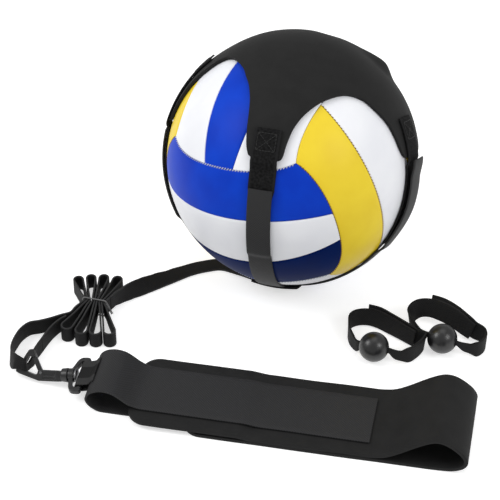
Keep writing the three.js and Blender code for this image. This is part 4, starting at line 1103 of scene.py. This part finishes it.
def makePalmStrap(side):
    facts, radius, width = palm[side], palm["ballRadius"], palm["bandWidth"]
    px, py = facts["place"]
    centre = Vector((px, py, radius))
    bore = math.radians(facts["bore"])
    boreAxis = Vector((math.cos(bore), math.sin(bore), 0))
    lifts = [*facts["raised"], 1, 0, 0, 0]
    inner = [Vector((px + x, py + y, width / 2 + up)) for (x, y), up in zip(facts["inner"], lifts)]
    front = [Vector((px + x, py + y, width / 2)) for x, y in facts["front"]]
    pitch = palm["bandThickness"] + palm["patchThickness"] + palm["gap"] * 2
    outer = []
    for i in range(5):
        ahead = (inner[i + 1] - inner[max(i - 1, 0)]).normalized()
        raised = axisZ * palm["outerLift"] * min(i, 3) / 3
        outer.append(inner[i] + Vector((ahead.y, -ahead.x, 0)).normalized() * pitch + raised)
    route = inner + [centre + boreAxis * radius * end for end in (-1, 0, 1)] + front + outer
    rolls = [*facts["far"], *[90] * 6, 88, 82, *facts["far"][:5]]
    rows = rolledRows(laidOut(route), rolls, width * mm, 0.0015, palm["shares"])
    band = layWebbing(f"palmBand{side.title()}", rows, palm["bandThickness"] * mm)
    declareFlat(band, rows, width * mm)
    paint(band, palmWebbing, "palm_webbing", "set", f"palm_band_{side}")
    fastener = [inner[i].lerp(outer[i], 0.5) for i in range(1, 5)]
    rows = rolledRows(laidOut(fastener), facts["far"][1:5], (width - palm["margin"]) * mm, 0.0015)
    patch = layWebbing(f"palmFastener{side.title()}", rows, palm["patchThickness"] * mm)
    paint(patch, hookTape, "hook_tape", "set", f"palm_fastener_{side}")

    # the rubber ball, drilled for its band
    deselectAll()
    bpy.ops.mesh.primitive_uv_sphere_add(segments=64, ring_count=40, radius=radius * mm)
    rubberBall = takeNew(f"palmBall{side.title()}")
    bpy.ops.mesh.primitive_cylinder_add(vertices=40, radius=palm["boreRadius"] * mm, depth=radius * 3 * mm)
    combine(rubberBall, [bpy.context.object], "DIFFERENCE")
    roundEdges(rubberBall, palm["boreRound"] * mm, degrees=40)
    turn = axisZ.rotation_difference(boreAxis).to_matrix().to_4x4()
    rubberBall.data.transform(Matrix.Translation(centre * mm + layoutShift) @ turn)
    smoothByAngle(rubberBall, 40)
    paint(rubberBall, rubber, "ball_rubber", f"{side}_palm_ball", f"palm_ball_{side}")


makePalmStrap("left")
makePalmStrap("right")
print("palm straps made")


# The moulded parts of the hook and its ring are drawn flat in millimetres, given a thickness and
# rounded edges, joined and cut, and only then put in their place.
hook = {
    "ringWidth": 40, "slotWidth": 31, "ringThickness": 4.6, "ringFace": 12, "bossLength": 5,
    "bossRadius": 5.75, "pinRadius": 2.4, "headRadius": 5.5, "headLength": 1.8, "gap": 0.3,
    "collarLength": 5.7, "collarTip": 5.3, "pinGrip": 1.4, "shankLow": -5.6, "shankHeight": 9,
    "thickness": 6, "blockProud": 0.9, "grooveStart": 5.4, "grooveEnd": 33.4, "grooveDepth": 1.4,
    "grooves": ((1.2, 3.1), (4.1, 6)), "bowStart": 37, "pivot": (35.6, 1.2), "nose": (44, 18.2),
    "gateTip": 14.4, "gateThickness": 3.6, "gateWidth": 3, "gatePinRadius": 1.1, "lipReach": 1.3,
    "lipInner": 0.85, "leafDrop": 2.6, "leafStart": 2.4, "leafThickness": 1, "voxel": 0.24, "gateVoxel": 0.14,
    "slotBend": ((-5.4, 0), (2.8, 0), (4.8, 1.2)),      # along the ring, and in from the slot's half width
    # along the ring, and the share of half its width
    "ringSide": ((-2.4, 0.9), (-1.2, 0.98), (2.4, 1), (5.5, 0.97), (8, 0.83), (10.2, 0.4375), (11.4, 0.2875)),
    "bowOuter": ((45, -3.1), (55.4, 0.6), (56.7, 1.8), (56.5, 3.4), (50.6, 12.4), (47.4, 17.6), (45.8, 19.6),
                 (44, 20), (42.7, 19.4)),
    "bowInner": ((46.2, 14), (48.1, 10.2), (50.9, 5.4), (51.4, 3.6), (48.8, 2.2), (44, 0.5), (41.6, -0.2),
                 (40.4, -0.6), (38.6, 0.4), (37.8, 2.8), (35.4, 3.4)),
}
hookWorld = Matrix.Translation(hookPlace) @ hookMatrix.to_4x4() @ Matrix.Scale(mm, 4)
ringAcross, ringUp = Vector((-0.189095, -0.981959, 0)), Vector((-0.119671, 0.023045, 0.992546))
ringMatrix = Matrix((hookU, ringAcross, ringUp)).transposed()
ringWorld = Matrix.Translation(hookPlace) @ ringMatrix.to_4x4() @ Matrix.Scale(mm, 4)


def plateOf(name, outline, thickness, edgeRound=0.0):
    deselectAll()
    bpy.ops.mesh.primitive_circle_add(vertices=len(outline), radius=1, fill_type="NGON")
    piece = takeNew(name)
    for vertex, (x, y) in zip(piece.data.vertices, outline):
        vertex.co = (x, y, 0)
    thicken(piece, thickness, even=False)
    editWhole(piece)
    if edgeRound:
        roundEdges(piece, edgeRound, degrees=60)
    return piece


def rodOf(name, start, end, first, second=None, edgeRound=0.0, along="X", middle=(0, 0, 0)):
    deselectAll()
    bpy.ops.mesh.primitive_cone_add(vertices=48, radius1=first, radius2=first if second is None else second,
                                    depth=end - start)
    piece = takeNew(name)
    if edgeRound:
        roundEdges(piece, edgeRound)
    piece.data.transform(Matrix.Translation((0, 0, (start + end) / 2)))
    if along != "Z":
        turn = axisZ.rotation_difference(axisX if along == "X" else axisY).to_matrix().to_4x4()
        piece.data.transform(turn)
    piece.data.transform(Matrix.Translation(middle))
    return piece


def mould(piece, world, voxel, passes, material, slot, body, replaced):
    if voxel:
        applyModifier(piece, "REMESH", mode="VOXEL", voxel_size=voxel)
        applyModifier(piece, "SMOOTH", factor=0.5, iterations=passes)
    piece.data.transform(world)
    selectOnly(piece)
    if voxel:
        bpy.ops.object.shade_smooth()
    else:
        smoothByAngle(piece, 40)
    paint(piece, material, slot, body, replaced)


def box(name, left, right, low, high, thickness, middle=0.0):
    piece = plateOf(name, [(left, low), (right, low), (right, high), (left, high)], thickness)
    piece.data.transform(Matrix.Translation((0, 0, middle)))
    return piece


def smoothOutline(points, spacing=0.6):
    return [(p.x, p.y) for p in smoothLine([(x, y, 0) for x, y in points], spacing)[0]]


def makeRing():
    h = hook
    half, slot, bar = h["ringWidth"] / 2, h["slotWidth"] / 2, belt["barRadius"]
    back = h["ringFace"] - h["bossLength"]
    side = smoothOutline([(x, half * share) for x, share in h["ringSide"]])
    ring = plateOf("swivelRing", [(x, -y) for x, y in side] + side[::-1], h["ringThickness"], 1.1)
    combine(ring, [rodOf("boss", back, h["ringFace"], h["bossRadius"], edgeRound=0.8)], "UNION")
    inside = [(x, slot - drop) for x, drop in h["slotBend"]] + [(back, h["bossRadius"] + bar)]
    combine(ring, [plateOf("slot", [(x, -y) for x, y in inside] + inside[::-1], 30),
                   rodOf("bore", back - 2, h["ringFace"] + 2, h["pinRadius"] + h["gap"])], "DIFFERENCE")
    combine(ring, [rodOf("bar", -slot - 1, slot + 1, bar, along="Y")], "UNION")
    mould(ring, ringWorld, h["voxel"], 3, plastic, "black_plastic", "ring", "swivel_ring")


def makePins():
    h = hook
    back = h["ringFace"] - h["bossLength"] - h["gap"]
    far = h["ringFace"] + h["gap"] + h["collarLength"] - h["pinGrip"]
    pin = rodOf("swivelPin", back - h["headLength"], back, h["headRadius"], edgeRound=0.6)
    combine(pin, [rodOf("stem", back - 0.4, far, h["pinRadius"])], "UNION")
    mould(pin, hookWorld, 0, 0, steel, "steel", "hook", "swivel_pin")
    half, middle = h["thickness"] / 2, (*h["pivot"], 0)
    pin = rodOf("gatePin", -half, half, h["gatePinRadius"], edgeRound=0.25, along="Z", middle=middle)
    mould(pin, hookWorld, 0, 0, steel, "steel", "hook", "gate_pin")
    floor = h["shankLow"] + h["shankHeight"] - h["leafDrop"] + h["gap"]
    start = h["ringFace"] + h["gap"] + h["collarLength"] + h["leafStart"] + h["gap"]
    end = h["pivot"][0] - h["gateThickness"] / 2 - h["gap"] * 2
    leaf = box("gateLeaf", start, end, floor, floor + h["leafThickness"], h["gateWidth"])
    roundEdges(leaf, 0.15, 2)
    mould(leaf, hookWorld, 0, 0, steel, "steel", "hook", "gate_leaf")


def makeHook():
    h = hook
    gap, tip, reach, inner = h["gap"], h["gateTip"], h["lipReach"], h["lipInner"]
    slotWidth = h["gateWidth"] + gap * 2
    low, top, pivot = h["shankLow"], h["shankLow"] + h["shankHeight"], Vector(h["pivot"])
    gateWay = (Vector(h["nose"]) - pivot).normalized()
    gateHalf = h["gateThickness"] / 2
    pivotPlace = (*h["pivot"], 0)

    def beside(along, outward):
        return (pivot.x + gateWay.x * along - gateWay.y * outward,
                pivot.y + gateWay.y * along + gateWay.x * outward)

    # the body: shank, bow and lip as one plate, joined to a collar and cut for the gate, leaf and pins
    start = h["ringFace"] + gap
    end = start + h["collarLength"]
    nose = tip + gap
    lip = [(nose, gateHalf), (nose - reach, gateHalf), (nose - reach, inner), (nose, inner),
           (nose, -gateHalf), (nose + 1, -gateHalf - 0.5)]
    outline = [(end - 1, low + 1), (end + 2, low), (h["bowStart"], low)] + smoothOutline(h["bowOuter"])
    outline += [beside(*point) for point in lip] + smoothOutline(h["bowInner"])
    outline += [(end + 2, top), (end - 1, top - 1)]
    body = plateOf("hookBody", outline, h["thickness"], 1.2)
    collar = rodOf("collar", start, end, h["bossRadius"] + gap, h["collarTip"], edgeRound=0.6)
    block = box("block", end - 0.4, end + 4.4, low + 0.2, top - 0.2, h["thickness"] + h["blockProud"])
    combine(body, [collar, block], "UNION")
    cuts = [rodOf("bore", start - 1, end - h["pinGrip"] + gap, h["pinRadius"] + gap),
            box("gateSlot", pivot.x - 3, pivot.x + 5.2, pivot.y - 2.7, top + 2, slotWidth),
            box("leafSlot", end + h["leafStart"], pivot.x, top - h["leafDrop"], top + 2, slotWidth),
            rodOf("pinBore", -5, 5, h["gatePinRadius"] + 0.02, along="Z", middle=pivotPlace)]
    for side in (1, -1):
        for first, last in h["grooves"]:
            cuts.append(box("groove", end + h["grooveStart"], h["grooveEnd"], low + first, low + last,
                            h["grooveDepth"], side * h["thickness"] / 2))
    combine(body, cuts, "DIFFERENCE")
    mould(body, hookWorld, h["voxel"], 3, plastic, "black_plastic", "hook", "hook_body")

    # the gate, round at its pin and stepped at its tip
    turns = [math.pi / 2 + math.pi * i / 12 for i in range(13)]
    arm = [(gateHalf * math.cos(turn), gateHalf * math.sin(turn)) for turn in turns]
    arm += [(tip - 1, -gateHalf), (tip, -gateHalf * 0.6), (tip, inner - gap), (tip - reach, inner - gap),
            (tip - reach, gateHalf)]
    gate = plateOf("hookGate", arm, h["gateWidth"], 0.4)
    lean = Matrix.Rotation(math.atan2(gateWay.y, gateWay.x), 4, "Z")
    gate.data.transform(Matrix.Translation(pivotPlace) @ lean)
    gateBore = rodOf("gateBore", -4, 4, h["gatePinRadius"] + gap, along="Z", middle=pivotPlace)
    combine(gate, [gateBore], "DIFFERENCE")
    mould(gate, hookWorld, h["gateVoxel"], 2, plastic, "black_plastic", "gate", "hook_gate")


makeRing()
makePins()
makeHook()
for name in ("ball_bladder", "ball_valve"):
    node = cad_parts[name]
    node.data.materials.clear()
    node.data.materials.append(latex)
print("hook made")


studio = {
    "floorSize": 12, "floorHeight": -0.0002, "floorGrey": 0.74, "floorGlow": 0.55, "worldLight": 0.64,
    "worldSeen": 0.36, "aim": (0, 0, 0.06),
    "keyLamp": {"place": (-1.25, -0.1, 1.25), "size": 0.75, "power": 11},
    "fillLamp": {"place": (1.1, -0.75, 1.1), "size": 0.6, "power": 7},
    "topLamp": {"place": (0.1, 0.35, 1.9), "size": 1.2, "power": 5.2},
}


# The floor looks pale to the camera and in reflections, and lights the set only as a grey floor would.
def makeStudio():
    deselectAll()
    bpy.ops.mesh.primitive_plane_add(size=studio["floorSize"], location=(0, 0, studio["floorHeight"]))
    floor = takeNew("studioFloor")
    material = bpy.data.materials.new("studioWhite")
    material.use_nodes = True
    tree = material.node_tree
    tree.nodes.clear()
    rays = addNode(tree, "LightPath").outputs
    seen = mathNode(tree, "ADD", mathNode(tree, "ADD", rays["Is Camera Ray"], rays["Is Glossy Ray"]),
                    rays["Is Transmission Ray"])
    diffuse = addNode(tree, "BsdfDiffuse", {"Color": (*grey(studio["floorGrey"]), 1)})
    glow = addNode(tree, "Emission", {"Strength": mathNode(tree, "MULTIPLY", seen, studio["floorGlow"])})
    both = addNode(tree, "AddShader", {0: diffuse.outputs[0], 1: glow.outputs[0]})
    addNode(tree, "OutputMaterial", {"Surface": both.outputs[0]})
    floor.data.materials.append(material)

    world = bpy.data.worlds.new("studio")
    bpy.context.scene.world = world
    world.use_nodes = True
    tree = world.node_tree
    seen = addNode(tree, "LightPath").outputs["Is Camera Ray"]
    strength = mathNode(tree, "MULTIPLY_ADD", seen, studio["worldSeen"], studio["worldLight"])
    feed(tree, tree.nodes["Background"], {"Strength": strength, "Color": (1, 1, 1, 1)})

    for name in ("keyLamp", "fillLamp", "topLamp"):
        facts = studio[name]
        data = bpy.data.lights.new(name, "AREA")
        data.shape, data.size, data.energy = "SQUARE", facts["size"], facts["power"]
        lamp = addObject(name, data)
        lamp.location = facts["place"]
        lamp.rotation_mode = "QUATERNION"
        lamp.rotation_quaternion = (Vector(studio["aim"]) - Vector(facts["place"])).to_track_quat("-Z", "Y")


makeStudio()
bpy.context.scene.view_settings.view_transform = "Standard"
print("studio lit")
